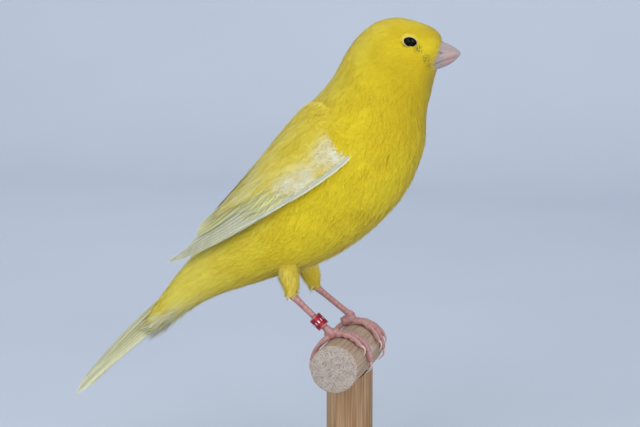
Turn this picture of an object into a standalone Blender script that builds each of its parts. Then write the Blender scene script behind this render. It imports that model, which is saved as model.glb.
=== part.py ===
"""Canary perched on a short dowel over a plain round stand.

The bird looks along +X, its left side is +Y and +Z is up. The origin is the middle of the
base's underside. Sizes are millimetres, turned into metres as each object is finished.
"""
import math
import random

import bmesh
import bpy
import numpy as np
from mathutils import Matrix

# Driving sizes of the whole model
MM = 0.001
GAP = 0.3
MERGE = 0.00001
RIGHT = -1.0
LEFT = 1.0
SEED = 7

# Perch and stand
PERCH_RADIUS = 6.5
PERCH_HEIGHT = 35.0
PERCH_NEAR = -19.0
PERCH_FAR = 14.5
POST_RADIUS = 6.4
BASE_RADIUS = 30.0
BASE_THICKNESS = 6.0
BASE_EDGE = 1.2

# Body sections from the bill to the tail root: back x, z, belly x, z, half width, level of the
# widest point from the back, and how far the body lies under the folded wings
BODY = [
    (25.0, 121.3, 23.2, 114.4, 3.5, 0.52, 0.0),
    (24.1, 124.0, 22.8, 112.6, 5.3, 0.54, 0.0),
    (21.7, 125.8, 22.3, 110.6, 7.0, 0.54, 0.0),
    (17.7, 127.2, 22.0, 108.7, 8.3, 0.54, 0.0),
    (12.2, 128.1, 21.8, 106.8, 9.1, 0.54, 0.0),
    (6.7, 126.7, 21.4, 104.9, 9.5, 0.53, 0.0),
    (2.1, 123.1, 21.1, 103.0, 9.9, 0.52, 0.0),
    (-1.5, 118.2, 20.9, 100.3, 10.7, 0.50, 0.0),
    (-4.9, 111.9, 20.9, 96.8, 12.3, 0.48, 0.2),
    (-9.0, 106.9, 20.7, 93.0, 14.1, 0.47, 0.4),
    (-14.1, 102.2, 19.3, 88.6, 15.4, 0.46, 1.2),
    (-19.8, 95.1, 16.4, 81.7, 16.0, 0.46, 2.6),
    (-26.4, 86.1, 10.9, 74.5, 15.8, 0.47, 3.3),
    (-32.2, 77.8, 2.8, 67.1, 14.8, 0.48, 3.4),
    (-37.2, 70.8, -6.8, 61.1, 12.9, 0.50, 2.8),
    (-41.7, 65.2, -16.8, 57.6, 10.6, 0.50, 1.2),
    (-45.9, 60.1, -26.9, 54.0, 8.3, 0.50, -0.2),
    (-49.8, 55.7, -36.8, 50.3, 6.5, 0.50, -0.1),
    (-53.4, 51.0, -45.7, 45.6, 4.9, 0.50, 0.0),
    (-55.8, 47.7, -51.1, 42.6, 3.8, 0.50, 0.0),
]
NECK_TOP = 6.0
NECK_BASE = 8.6
TAIL_ROOT = 16.6
BODY_STEP = 0.5
BODY_SIDES = 36

# Eye: centre, ball size, and the lid ring round its opening
EYE_CENTRE = (17.5, 5.6, 122.0)
EYE_RADIUS = 2.1
LID_RADIUS = 1.8
LID_THICKNESS = 0.4
LID_HEIGHT = 0.82
LID_LIFT = 1.72

# Bill in side view, from its base to the tip: ridge, cutting edge and keel, with half widths
RIDGE = [(25.3, 121.2), (26.7, 120.8), (28.3, 119.9), (29.5, 118.9), (30.2, 118.1)]
CUTTING_EDGE = [(23.7, 115.9), (25.0, 116.4), (26.6, 117.0), (28.2, 117.5), (29.7, 117.9)]
KEEL = [(23.6, 114.4), (25.1, 114.9), (26.7, 115.7), (28.1, 116.6), (29.2, 117.5)]
BILL_WIDTHS = [3.3, 2.8, 2.0, 1.2, 0.25]
NOSTRIL = (25.3, 2.3, 119.0)
NOSTRIL_LENGTH = 1.5
NOSTRIL_HEIGHT = 0.6

# Folded wing, right side: inner edge along the back and outer edge along the flank,
# from the shoulder to the tips
WING_INNER = [
    (-6.0, -4.5, 108.5),
    (-13.3, -3.0, 102.8),
    (-22.1, -2.0, 92.5),
    (-31.1, -1.0, 81.7),
    (-38.1, -0.9, 73.7),
    (-41.8, -1.2, 70.3),
    (-46.1, -2.8, 64.7),
    (-52.1, -4.2, 61.0),
]
WING_OUTER = [
    (5.6, -14.0, 93.4),
    (0.2, -16.4, 88.0),
    (-9.7, -17.2, 81.1),
    (-21.1, -16.0, 74.2),
    (-32.1, -13.2, 68.4),
    (-40.5, -10.0, 64.3),
    (-46.0, -7.6, 61.8),
    (-51.7, -5.4, 59.8),
]
TIP_TILT = 50.0
QUILL = 0.62

# Leg: heel and foot joints, shank size and the identity ring
LEG_OFFSET = 8.5
HEEL_RIGHT = (-14.2, 52.5)
FOOT_RIGHT = (-4.6, 43.7)
HEEL_LEFT = (-12.1, 51.9)
FOOT_LEFT = (-2.1, 44.3)
SHANK_RADIUS = 0.95
SCUTE_STEP = 0.1
HEEL_SWELL = 0.35
RING_INNER = 1.4
RING_OUTER = 1.8
RING_LENGTH = 3.7
TOE_RADIUS = 0.92

# Tail: upper and lower edge of the closed fan from root to tip
TAIL_TOP = [(-51.0, 52.6), (-58.3, 44.3), (-64.4, 38.4), (-70.5, 31.9), (-76.8, 24.2), (-80.0, 19.8)]
TAIL_LOW = [(-49.0, 49.0), (-58.8, 39.0), (-64.3, 34.2), (-70.4, 29.0), (-76.8, 22.9), (-79.6, 19.6)]
TAIL_PAIRS = 6

COLOURS = {
    "plumage": ((0.86, 0.66, 0.05), 0.8),
    "flight": ((0.86, 0.80, 0.45), 0.7),
    "bill": ((0.72, 0.50, 0.44), 0.4),
    "eye": ((0.01, 0.01, 0.01), 0.08),
    "skin": ((0.72, 0.42, 0.36), 0.5),
    "ring": ((0.42, 0.02, 0.03), 0.3),
    "dowel": ((0.66, 0.55, 0.42), 0.6),
    "post": ((0.60, 0.40, 0.22), 0.6),
    "stand": ((0.60, 0.42, 0.26), 0.5),
}


def clear_scene():
    """Take away whatever the file starts with."""
    for old in list(bpy.data.objects):
        bpy.data.objects.remove(old, do_unlink=True)


def material(name):
    """One material for each kind of surface."""
    found = bpy.data.materials.get(name)
    if found:
        return found
    colour, roughness = COLOURS[name]
    made = bpy.data.materials.new(name)
    made.use_nodes = True
    shader = made.node_tree.nodes["Principled BSDF"]
    shader.inputs["Base Color"].default_value = (*colour, 1.0)
    shader.inputs["Roughness"].default_value = roughness
    shader.inputs["Metallic"].default_value = 0.7 if name == "ring" else 0.0
    return made


def curve_through(points, place):
    """Smooth curve through evenly numbered points, read at a fractional place."""
    rows = np.asarray(points, float)
    last = len(rows) - 1
    place = min(max(place, 0.0), float(last))
    index = min(int(place), last - 1)
    part = place - index
    here = rows[index]
    after = rows[index + 1]
    slope_here = (rows[min(index + 1, last)] - rows[max(index - 1, 0)]) / 2.0
    slope_after = (rows[min(index + 2, last)] - rows[index]) / 2.0
    square = part * part
    cube = square * part
    return (
        here * (2.0 * cube - 3.0 * square + 1.0)
        + slope_here * (cube - 2.0 * square + part)
        + after * (3.0 * square - 2.0 * cube)
        + slope_after * (cube - square)
    )


def unit(vector):
    """The same direction at length one."""
    return vector / max(float(np.linalg.norm(vector)), 1e-9)


def body_point(place, angle, swell=0.0):
    """Point on the body: place counts sections, angle runs from the back over the right side."""
    row = curve_through(BODY, place)
    back = np.array([row[0], 0.0, row[1]])
    belly = np.array([row[2], 0.0, row[3]])
    down = unit(belly - back)
    back = back + down * (row[6] - swell)
    belly = belly + down * swell
    centre = back + (belly - back) * row[5]
    upright = math.cos(angle)
    reach = back - centre if upright > 0.0 else centre - belly
    side = np.array([0.0, -(row[4] + swell) * math.sin(angle), 0.0])
    return centre + reach * upright + side


def body_rings(first, last, swell=0.0):
    """Rings of points along a stretch of the body."""
    count = int(round((last - first) / BODY_STEP))
    rings = []
    for index in range(count + 1):
        place = first + (last - first) * index / count
        ring = []
        for side in range(BODY_SIDES):
            ring.append(body_point(place, 2.0 * math.pi * side / BODY_SIDES, swell))
        rings.append(ring)
    return rings


def mesh_object(name, points, faces):
    """Object made of the given corners and faces, its faces turned outward."""
    mesh = bpy.data.meshes.new(name)
    mesh.from_pydata([tuple(map(float, point)) for point in points], [], faces)
    work = bmesh.new()
    work.from_mesh(mesh)
    bmesh.ops.recalc_face_normals(work, faces=work.faces)
    if work.calc_volume(signed=True) < 0.0:
        bmesh.ops.reverse_faces(work, faces=work.faces)
    work.to_mesh(mesh)
    work.free()
    made = bpy.data.objects.new(name, mesh)
    bpy.context.scene.collection.objects.link(made)
    return made


def loft(name, rings):
    """Closed body through rings with the same number of points."""
    sides = len(rings[0])
    points = [point for ring in rings for point in ring]
    faces = []
    for row in range(len(rings) - 1):
        low = row * sides
        high = low + sides
        for side in range(sides):
            after = (side + 1) % sides
            faces.append((low + side, low + after, high + after, high + side))
    faces.append(tuple(range(sides)))
    faces.append(tuple(range(len(points) - sides, len(points))))
    return mesh_object(name, points, faces)


def section_plane(place):
    """Point and forward normal of the flat section through the body at a place."""
    row = curve_through(BODY, place)
    back = np.array([row[0], 0.0, row[1]])
    belly = np.array([row[2], 0.0, row[3]])
    return back, unit(np.cross(belly - back, [0.0, 1.0, 0.0]))


def keep_side(thing, point, normal):
    """Cut an object by a plane, keep the side behind the normal and close it again."""
    work = bmesh.new()
    work.from_mesh(thing.data)
    everything = list(work.verts) + list(work.edges) + list(work.faces)
    cut = bmesh.ops.bisect_plane(
        work, geom=everything, plane_co=point, plane_no=normal, clear_outer=True
    )
    rim = [item for item in cut["geom_cut"] if isinstance(item, bmesh.types.BMEdge)]
    bmesh.ops.edgeloop_fill(work, edges=rim)
    bmesh.ops.recalc_face_normals(work, faces=work.faces)
    work.to_mesh(thing.data)
    work.free()


def part_body(name, front, rear):
    """Stretch of the body between two thin cuts; None leaves an end of the body as it is."""
    first = 0.0 if front is None else front - 1.0
    last = len(BODY) - 1.0 if rear is None else rear + 1.0
    made = loft(name, body_rings(first, last))
    if front is not None:
        point, normal = section_plane(front)
        keep_side(made, point - normal * GAP / 2.0, normal)
    if rear is not None:
        point, normal = section_plane(rear)
        keep_side(made, point + normal * GAP / 2.0, -normal)
    return made


def apply_boolean(thing, operation, other, solver="EXACT"):
    """Join or cut an object with another object or with all objects of a collection."""
    step = thing.modifiers.new("boolean", "BOOLEAN")
    step.operation = operation
    step.solver = solver
    if isinstance(other, bpy.types.Collection):
        step.operand_type = "COLLECTION"
        step.collection = other
    else:
        step.object = other
    graph = bpy.context.evaluated_depsgraph_get()
    graph.update()
    result = bpy.data.meshes.new_from_object(thing.evaluated_get(graph))
    thing.modifiers.clear()
    thing.data = result
    return thing


def keep_largest(thing):
    """Keep only the largest closed surface of an object."""
    work = bmesh.new()
    work.from_mesh(thing.data)
    bmesh.ops.remove_doubles(work, verts=work.verts, dist=MERGE)
    left = set(work.faces)
    shells = []
    while left:
        seed = left.pop()
        shell = [seed]
        queue = [seed]
        while queue:
            face = queue.pop()
            for edge in face.edges:
                for near in edge.link_faces:
                    if near in left:
                        left.remove(near)
                        shell.append(near)
                        queue.append(near)
        shells.append(shell)
    shells.sort(key=lambda shell: sum(face.calc_area() for face in shell))
    for shell in shells[:-1]:
        bmesh.ops.delete(work, geom=shell, context="FACES")
    loose = [point for point in work.verts if not point.link_faces]
    bmesh.ops.delete(work, geom=loose, context="VERTS")
    work.to_mesh(thing.data)
    work.free()


def join_pieces(name, pieces, solver="EXACT"):
    """One closed body from overlapping pieces."""
    whole = pieces[0]
    whole.name = name
    rest = bpy.data.collections.new(name + "_pieces")
    bpy.context.scene.collection.children.link(rest)
    for piece in pieces[1:]:
        bpy.context.scene.collection.objects.unlink(piece)
        rest.objects.link(piece)
    apply_boolean(whole, "UNION", rest, solver)
    for piece in list(rest.objects):
        bpy.data.objects.remove(piece, do_unlink=True)
    bpy.data.collections.remove(rest)
    keep_largest(whole)
    return whole


def cut_away(thing, cutter, solver="EXACT"):
    """Cut an object by a cutter and drop the cutter."""
    apply_boolean(thing, "DIFFERENCE", cutter, solver)
    bpy.data.objects.remove(cutter, do_unlink=True)
    keep_largest(thing)
    return thing


def finish(thing, name, look, collection):
    """Turn a finished body into metres, set it on its own origin and give it its material."""
    mesh = thing.data
    mesh.transform(Matrix.Scale(MM, 4))
    corners = [point.co.copy() for point in mesh.vertices]
    middle = sum(corners, corners[0] * 0.0) / len(corners)
    mesh.transform(Matrix.Translation(-middle))
    thing.location = middle
    thing.name = name
    mesh.name = name
    mesh.materials.clear()
    mesh.materials.append(material(look))
    mesh.shade_smooth()
    mesh.set_sharp_from_angle(angle=math.radians(35.0))
    bpy.context.scene.collection.objects.unlink(thing)
    collection.objects.link(thing)
    return thing


def sphere(name, centre, radius, rings=10, sides=16):
    """Ball."""
    work = bmesh.new()
    bmesh.ops.create_uvsphere(work, u_segments=sides, v_segments=rings, radius=radius)
    bmesh.ops.translate(work, verts=work.verts, vec=centre)
    mesh = bpy.data.meshes.new(name)
    work.to_mesh(mesh)
    work.free()
    made = bpy.data.objects.new(name, mesh)
    bpy.context.scene.collection.objects.link(made)
    return made


def cylinder(name, start, end, radius, sides=32):
    """Round bar between two points."""
    start = np.asarray(start, float)
    end = np.asarray(end, float)
    return tube(name, [start, end], [radius, radius], sides)


def tube(name, points, radii, sides=8):
    """Round body along a path, with its own radius at each point."""
    points = [np.asarray(point, float) for point in points]
    rings = []
    across = None
    for index, point in enumerate(points):
        ahead = unit(points[min(index + 1, len(points) - 1)] - points[max(index - 1, 0)])
        if across is None:
            guide = np.array([0.0, 1.0, 0.0])
            if abs(float(ahead @ guide)) > 0.9:
                guide = np.array([0.0, 0.0, 1.0])
            across = guide
        across = unit(across - ahead * float(across @ ahead))
        third = np.cross(ahead, across)
        ring = []
        for side in range(sides):
            turn = 2.0 * math.pi * side / sides
            ring.append(point + (across * math.cos(turn) + third * math.sin(turn)) * radii[index])
        rings.append(ring)
    return loft(name, rings)


def vane(name, centres, sides, normals, half_width, blade):
    """Flat tapered feather blade, three edges wide on each face, its faces split alike."""
    points = []
    for centre, side, normal, (_, part) in zip(centres, sides, normals, blade):
        reach = side * half_width * part
        rim = normal * QUILL * 0.42 * (0.55 + 0.45 * part)
        crown = normal * QUILL * 0.58 * (0.45 + 0.55 * part)
        points.extend((centre + reach + rim, centre + crown, centre - reach + rim))
        points.extend((centre - reach - rim, centre - crown, centre + reach - rim))
    faces = []
    last = len(centres) - 1
    for row in range(last):
        low = 6 * row
        high = low + 6
        for near, far in ((0, 1), (1, 2)):
            faces.append((low + near, low + far, high + far))
            faces.append((low + near, high + far, high + near))
            faces.append((low + 5 - near, low + 5 - far, high + 5 - far))
            faces.append((low + 5 - near, high + 5 - far, high + 5 - near))
        for near, far in ((2, 3), (5, 0)):
            faces.append((low + near, low + far, high + far))
            faces.append((low + near, high + far, high + near))
    top = 6 * last
    for base in (0, top):
        faces.append((base, base + 1, base + 4, base + 5))
        faces.append((base + 1, base + 2, base + 3, base + 4))
    return mesh_object(name, points, faces)


# Blades as place along the feather and share of its full width: long ones and short ones
LONG_BLADE = ((0.0, 0.75), (0.35, 1.0), (0.7, 0.95), (0.92, 0.6), (1.0, 0.16))
SHORT_BLADE = ((0.0, 0.8), (0.5, 1.0), (0.86, 0.7), (1.0, 0.2))


def wing_sheet(side, place, angle):
    """Point on the folded wing's surface and its outward normal."""
    def at(where, turn):
        inner = curve_through(WING_INNER, where)
        outer = curve_through(WING_OUTER, where)
        middle = np.array([outer[0], inner[1], outer[2]])
        return middle + (inner - middle) * math.cos(turn) + (outer - middle) * math.sin(turn)

    here = at(place, angle)
    step = 0.04
    along = at(place + step, angle) - at(place - step, angle)
    across = at(place, angle + step) - at(place, angle - step)
    normal = unit(np.cross(along, across))
    if normal[2] < 0.0 and normal[1] > 0.0:
        normal = -normal
    if float(normal @ np.array([-0.3, -0.8, 0.6])) < 0.0:
        normal = -normal
    run = unit(curve_through(WING_OUTER, 6.9) - curve_through(WING_OUTER, 4.5))
    tilt = math.radians(TIP_TILT)
    flat = np.array([0.0, -math.sin(tilt), math.cos(tilt)])
    flat = unit(flat - run * float(flat @ run))
    blend = min(max((place - 3.6) / 2.2, 0.0), 1.0)
    normal = unit(normal * (1.0 - blend) + flat * blend)
    mirror = np.array([1.0, -side, 1.0])
    return here * mirror, normal * mirror


def wing_vane(side, name, root, tip, half_width, roll, lifts, blade=LONG_BLADE):
    """Feather lying along the folded wing from a root to a tip, given as place and angle."""
    centres = []
    rights = []
    normals = []
    path = []
    for part, _ in blade:
        place = root[0] + (tip[0] - root[0]) * part
        turn = math.radians(root[1] + (tip[1] - root[1]) * part)
        point, normal = wing_sheet(side, place, turn)
        path.append((point + normal * (lifts[0] + (lifts[1] - lifts[0]) * part), normal))
    for index, (point, normal) in enumerate(path):
        ahead = unit(path[min(index + 1, len(path) - 1)][0] - path[max(index - 1, 0)][0])
        normal = unit(normal - ahead * float(normal @ ahead))
        outer = np.cross(normal, ahead)
        if outer[1] * side < 0.0:
            outer = -outer
        angle = math.radians(roll)
        centres.append(point)
        rights.append(outer * math.cos(angle) + normal * math.sin(angle))
        normals.append(normal * math.cos(angle) - outer * math.sin(angle))
    return vane(name, centres, rights, normals, half_width, blade)


def wing_core(side):
    """Arm of the wing under the coverts, from the shoulder half way to the tips."""
    places = (0.0, 0.35, 0.9, 1.6, 2.4, 3.1)
    tops = (-1.3, -0.65, -0.4, -0.4, -0.45, -0.6)
    starts = (26.0, 10.0, 3.0, 2.0, 4.0, 8.0)
    ends = (84.0, 88.0, 89.0, 89.0, 87.0, 82.0)
    count = 9
    depth = 3.4
    rings = []
    for place, top, start, end in zip(places, tops, starts, ends):
        upper = []
        lower = []
        for index in range(count):
            part = index / (count - 1)
            turn = math.radians(start + (end - start) * part)
            point, normal = wing_sheet(side, place, turn)
            edge = 1.0 - (2.0 * part - 1.0) ** 4
            upper.append(point + normal * (top - 0.35 * (1.0 - edge)))
            lower.append(point - normal * (depth * (0.45 + 0.55 * edge)))
        rings.append(upper + lower[::-1])
    return loft("wing_core", rings)


def feather_row(count, first, last):
    """Evenly spread values from the first feather of a row to its last."""
    return [first + (last - first) * index / (count - 1) for index in range(count)]


def wing(side, name, clearance):
    """Folded wing: arm, flight feathers and three tiers of coverts, cut to fit the body."""
    pick = random.Random(SEED)
    pieces = [wing_core(side)]
    primaries = 8
    tips = (5.2, 5.55, 5.9, 6.2, 6.5, 6.75, 6.95, 7.0)
    roots = feather_row(primaries, 58.0, 82.0)
    ends = feather_row(primaries, 44.0, 72.0)
    for index in range(primaries):
        start = (1.7 - 0.08 * index, roots[index])
        lift = -0.1 - 0.07 * index
        tip = (tips[index], ends[index])
        pieces.append(wing_vane(side, "primary", start, tip, 1.8, 9.0, (lift - 0.4, lift)))
    secondaries = 5
    roots = feather_row(secondaries, 28.0, 56.0)
    ends = feather_row(secondaries, 22.0, 48.0)
    for index in range(secondaries):
        start = (2.0, roots[index])
        tip = (4.95 + 0.05 * index + pick.uniform(-0.03, 0.03), ends[index])
        lift = 0.2 - 0.07 * index
        pieces.append(wing_vane(side, "secondary", start, tip, 2.1, 9.0, (lift - 0.6, lift)))
    for index, (end, turn) in enumerate(((4.1, 7.0), (4.6, 11.0), (5.05, 17.0))):
        start = (1.7, 4.0 + 8.0 * index)
        lift = 0.45 - 0.12 * index
        pieces.append(wing_vane(side, "tertial", start, (end, turn), 2.6, 7.0, (-0.5, lift)))
    greater = 8
    for index, turn in enumerate(feather_row(greater, 9.0, 78.0)):
        start = (1.35, turn + 2.0)
        tip = (3.2 + 0.12 * math.sin(index) + pick.uniform(-0.04, 0.04), turn)
        lifts = (-0.5, 0.55 - 0.03 * index)
        pieces.append(wing_vane(side, "greater_covert", start, tip, 1.9, 9.0, lifts, SHORT_BLADE))
    median = 7
    for index, turn in enumerate(feather_row(median, 8.0, 78.0)):
        start = (0.7, turn + 3.0)
        tip = (2.1 + pick.uniform(-0.04, 0.04), turn)
        lifts = (-0.45, 0.5)
        pieces.append(wing_vane(side, "median_covert", start, tip, 2.1, 10.0, lifts, SHORT_BLADE))
    for index, end in enumerate((2.4, 3.0, 3.6)):
        start = (0.25 + 0.35 * index, 84.0)
        tip = (end, 84.0 - 1.5 * index)
        lifts = (-0.5, 0.3 - 0.12 * index)
        pieces.append(wing_vane(side, "alula", start, tip, 1.5, 8.0, lifts, SHORT_BLADE))
    made = join_pieces(name, pieces, "MANIFOLD")
    apply_boolean(made, "DIFFERENCE", clearance, "MANIFOLD")
    wall = mesh_box("wall", (-80.0, -GAP / 2.0 if side < 0.0 else -20.0, 40.0),
                    (20.0, 20.0 if side < 0.0 else GAP / 2.0, 140.0))
    return cut_away(made, wall, "MANIFOLD")


def mesh_box(name, low, high):
    """Box between two corners."""
    work = bmesh.new()
    bmesh.ops.create_cube(work, size=1.0)
    for point in work.verts:
        for axis in range(3):
            point.co[axis] = low[axis] if point.co[axis] < 0.0 else high[axis]
    mesh = bpy.data.meshes.new(name)
    work.to_mesh(mesh)
    work.free()
    made = bpy.data.objects.new(name, mesh)
    bpy.context.scene.collection.objects.link(made)
    return made


def tail_vane(side, name, order, start, end, spread, half_width, roll, blade=LONG_BLADE):
    """Tail feather; order, at root and tip, is 0 on top of the closed fan and 1 at its underside."""
    path = []
    for part, _ in blade:
        place = start + (end - start) * part
        top = curve_through(TAIL_TOP, place)
        low = curve_through(TAIL_LOW, place)
        here = top + (low - top) * (order[0] + (order[1] - order[0]) * part)
        out = spread[0] + (spread[1] - spread[0]) * part
        path.append(np.array([here[0], side * out, here[1]]))
    centres = []
    rights = []
    normals = []
    angle = math.radians(roll)
    for index, point in enumerate(path):
        ahead = unit(path[min(index + 1, len(path) - 1)] - path[max(index - 1, 0)])
        outer = np.array([0.0, side, 0.0])
        outer = unit(outer - ahead * float(outer @ ahead))
        up = np.cross(ahead, outer)
        if up[2] < 0.0:
            up = -up
        centres.append(point)
        rights.append(outer * math.cos(angle) - up * math.sin(angle))
        normals.append(up * math.cos(angle) + outer * math.sin(angle))
    return vane(name, centres, rights, normals, half_width, blade)


def tail():
    """Tail root with its coverts and six pairs of overlapping tail feathers."""
    pieces = [part_body("tail_root", TAIL_ROOT, None)]
    for side in (RIGHT, LEFT):
        for index in range(TAIL_PAIRS):
            layer = index / (TAIL_PAIRS - 1.0)
            spread = (0.8 + 0.25 * index, 1.35 + 0.5 * index)
            end = 4.86 + 0.14 * layer
            shift = 0.03 if side > 0.0 else 0.0
            order = (layer + shift, layer + shift)
            pieces.append(tail_vane(side, "rectrix", order, 0.35, end, spread, 2.15, 7.0))
        for index, (start, end, out) in enumerate(((0.05, 1.6, 1.1), (0.0, 1.2, 2.6))):
            order = (0.1 * index, 0.1 * index - 0.05)
            out = (out, out * 0.8)
            pieces.append(
                tail_vane(side, "upper_covert", order, start, end, out, 1.9, 16.0, SHORT_BLADE)
            )
        for index, (start, end, out) in enumerate(((-0.1, 1.25, 0.9), (-0.1, 0.95, 2.4))):
            order = (1.0 - 0.2 * index, 1.75 - 0.25 * index)
            out = (out, out * 0.8)
            pieces.append(
                tail_vane(side, "under_covert", order, start, end, out, 1.9, -14.0, SHORT_BLADE)
            )
    return join_pieces("tail", pieces, "MANIFOLD")


def surface_normal(place, angle):
    """Outward normal of the body at a place."""
    step = 0.05
    along = body_point(place + step, angle) - body_point(place - step, angle)
    across = body_point(place, angle + step) - body_point(place, angle - step)
    normal = unit(np.cross(along, across))
    row = curve_through(BODY, place)
    middle = np.array([(row[0] + row[2]) / 2.0, 0.0, (row[1] + row[3]) / 2.0])
    if float(normal @ (body_point(place, angle) - middle)) < 0.0:
        normal = -normal
    return normal


def lid_ring(side):
    """Raised rim of the lids round one eye."""
    centre = np.array([EYE_CENTRE[0], side * EYE_CENTRE[1], EYE_CENTRE[2]])
    outward = unit(np.array([0.18, side * 1.0, 0.16]))
    forward = unit(np.array([1.0, 0.0, -0.3]) - outward * float(np.array([1.0, 0.0, -0.3]) @ outward))
    third = np.cross(outward, forward)
    rings = []
    steps = 18
    for index in range(steps):
        turn = 2.0 * math.pi * index / steps
        ray = forward * math.cos(turn) + third * math.sin(turn) * LID_HEIGHT
        middle = centre + outward * LID_LIFT + ray * LID_RADIUS
        away = unit(ray)
        ring = []
        for corner in range(6):
            spin = 2.0 * math.pi * corner / 6.0
            ring.append(middle + (away * math.cos(spin) + outward * math.sin(spin)) * LID_THICKNESS)
        rings.append(ring)
    points = [point for ring in rings for point in ring]
    faces = []
    for row in range(steps):
        after = (row + 1) % steps
        for corner in range(6):
            ahead = (corner + 1) % 6
            faces.append((row * 6 + corner, row * 6 + ahead, after * 6 + ahead, after * 6 + corner))
    return mesh_object("lid", points, faces)


def head():
    """Head with an eye socket and a lid ring on each side."""
    pieces = [part_body("head_core", None, NECK_TOP), lid_ring(RIGHT), lid_ring(LEFT)]
    made = join_pieces("head", pieces)
    for side in (RIGHT, LEFT):
        centre = (EYE_CENTRE[0], side * EYE_CENTRE[1], EYE_CENTRE[2])
        cut_away(made, sphere("socket", centre, EYE_RADIUS + GAP))
    return made


def bill_half(name, outer_line, upward):
    """Upper or lower half of the bill, flat along the cutting edge and domed outside."""
    rings = []
    arc = 9
    for index, (edge, outer) in enumerate(zip(CUTTING_EDGE, outer_line)):
        edge = np.array([edge[0], 0.0, edge[1]])
        outer = np.array([outer[0], 0.0, outer[1]])
        lift = GAP / 2.0 if upward else -GAP / 2.0
        edge = edge + np.array([0.0, 0.0, lift])
        rise = outer - edge
        width = BILL_WIDTHS[index] * (1.0 if upward else 0.9)
        ring = []
        for corner in range(arc):
            turn = math.pi * corner / (arc - 1)
            ring.append(edge + rise * math.sin(turn) + np.array([0.0, width * math.cos(turn), 0.0]))
        rings.append(ring)
    return loft(name, rings)


def upper_bill():
    """Upper bill with a nostril slit on each side."""
    made = bill_half("bill_upper", RIDGE, True)
    for side in (RIGHT, LEFT):
        centre = np.array([NOSTRIL[0], side * NOSTRIL[1], NOSTRIL[2]])
        along = np.array([NOSTRIL_LENGTH / 2.0, -side * 0.35, -0.25])
        slit = tube("slit", [centre - along, centre, centre + along],
                    [NOSTRIL_HEIGHT * 0.25, NOSTRIL_HEIGHT / 2.0, NOSTRIL_HEIGHT * 0.2])
        cut_away(made, slit)
    return made


def perch_point(around, across, clear):
    """Point over the perch: degrees forward from its top, place along it, height off it."""
    turn = math.radians(around)
    reach = PERCH_RADIUS + clear
    return np.array([reach * math.sin(turn), across, PERCH_HEIGHT + reach * math.cos(turn)])


def toe(name, start, end, joints, radius, claw):
    """Toe over the perch from start to end, with pads at its joints and a curved claw."""
    points = []
    radii = []
    steps = 2 * joints + 1
    for index in range(steps):
        part = index / (steps - 1.0)
        size = radius * (1.0 - 0.2 * part) * (1.0 if index % 2 else 0.84)
        around = start[0] + (end[0] - start[0]) * part
        across = start[1] + (end[1] - start[1]) * part
        points.append(perch_point(around, across, GAP + radius * (1.02 - 0.16 * part)))
        radii.append(size)
    made = [tube(name, points, radii)]
    claw_points = []
    claw_radii = []
    claw_steps = 5
    turn = 1.0 if end[0] > 0.0 else -1.0
    for index in range(claw_steps):
        part = index / (claw_steps - 1.0)
        around = end[0] + turn * (claw * part - 3.0)
        arch = math.sin(math.pi * min(part * 1.1, 1.0)) * 0.55
        claw_points.append(perch_point(around, end[1], GAP + radius * 0.9 + arch - 0.25 * part))
        claw_radii.append(radius * (0.62 - 0.46 * part))
    made.append(tube(name + "_claw", claw_points, claw_radii, 6))
    return made


def foot(name, heel, ankle, across, toes):
    """Foot round the perch: palm, three front toes and the hind toe."""
    heel = np.array([heel[0], across, heel[1]])
    ankle = np.array([ankle[0], across, ankle[1]])
    palm = [
        ankle,
        ankle + unit(ankle - heel) * 0.5,
        perch_point(-27.0, across, GAP + 1.4),
        perch_point(-15.0, across, GAP + 1.15),
        perch_point(-4.0, across, GAP + 0.95),
    ]
    pieces = [tube("palm", palm, [1.0, 1.1, 1.35, 1.3, 0.9], 10)]
    for index, (start, end, joints, claw) in enumerate(toes):
        pieces.extend(toe("toe", start, end, joints, TOE_RADIUS - 0.03 * index, claw))
    made = join_pieces(name, pieces, "MANIFOLD")
    clear = cylinder("clear", heel, ankle, SHANK_RADIUS + SCUTE_STEP + GAP, 12)
    return cut_away(made, clear, "MANIFOLD")


def shank(name, heel, ankle, across):
    """Scaled shank from the heel to just above the foot."""
    heel = np.array([heel[0], across, heel[1]])
    ankle = np.array([ankle[0], across, ankle[1]])
    run = unit(ankle - heel)
    length = float(np.linalg.norm(ankle - heel)) - GAP
    steps = 13
    points = []
    radii = []
    for index in range(steps):
        part = index / (steps - 1.0)
        points.append(heel + run * length * part)
        swell = HEEL_SWELL * math.exp(-part * 9.0)
        radii.append(SHANK_RADIUS + swell + (SCUTE_STEP if index % 2 else 0.0))
    return tube(name, points, radii, 8)


def thigh(name, heel, ankle, across, clearance, top):
    """Feathered thigh from the belly down to the heel."""
    heel = np.array([heel[0], across, heel[1]])
    ankle = np.array([ankle[0], across, ankle[1]])
    top = np.array([top[0], across * 0.98, top[1]])
    points = []
    radii = []
    shape = ((-0.05, 4.0), (0.25, 3.7), (0.5, 3.1), (0.78, 2.3), (0.95, 1.55), (1.0, 1.0))
    reach = heel - top
    end = heel - unit(reach) * GAP * 1.4
    for part, radius in shape:
        points.append(top + (end - top) * part)
        radii.append(radius)
    made = tube(name, points, radii, 14)
    apply_boolean(made, "DIFFERENCE", clearance, "MANIFOLD")
    run = unit(ankle - heel)
    clear = cylinder("clear", heel - run * GAP, ankle, SHANK_RADIUS + HEEL_SWELL + GAP, 12)
    return cut_away(made, clear, "MANIFOLD")


def leg_ring():
    """Closed metal ring low on the right shank."""
    heel = np.array([HEEL_RIGHT[0], -LEG_OFFSET, HEEL_RIGHT[1]])
    ankle = np.array([FOOT_RIGHT[0], -LEG_OFFSET, FOOT_RIGHT[1]])
    run = unit(ankle - heel)
    end = ankle - run * 0.9
    start = end - run * RING_LENGTH
    made = cylinder("leg_ring", start, end, RING_OUTER, 24)
    return cut_away(made, cylinder("bore", start - run * 2.0, end + run * 2.0, RING_INNER, 24))


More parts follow.
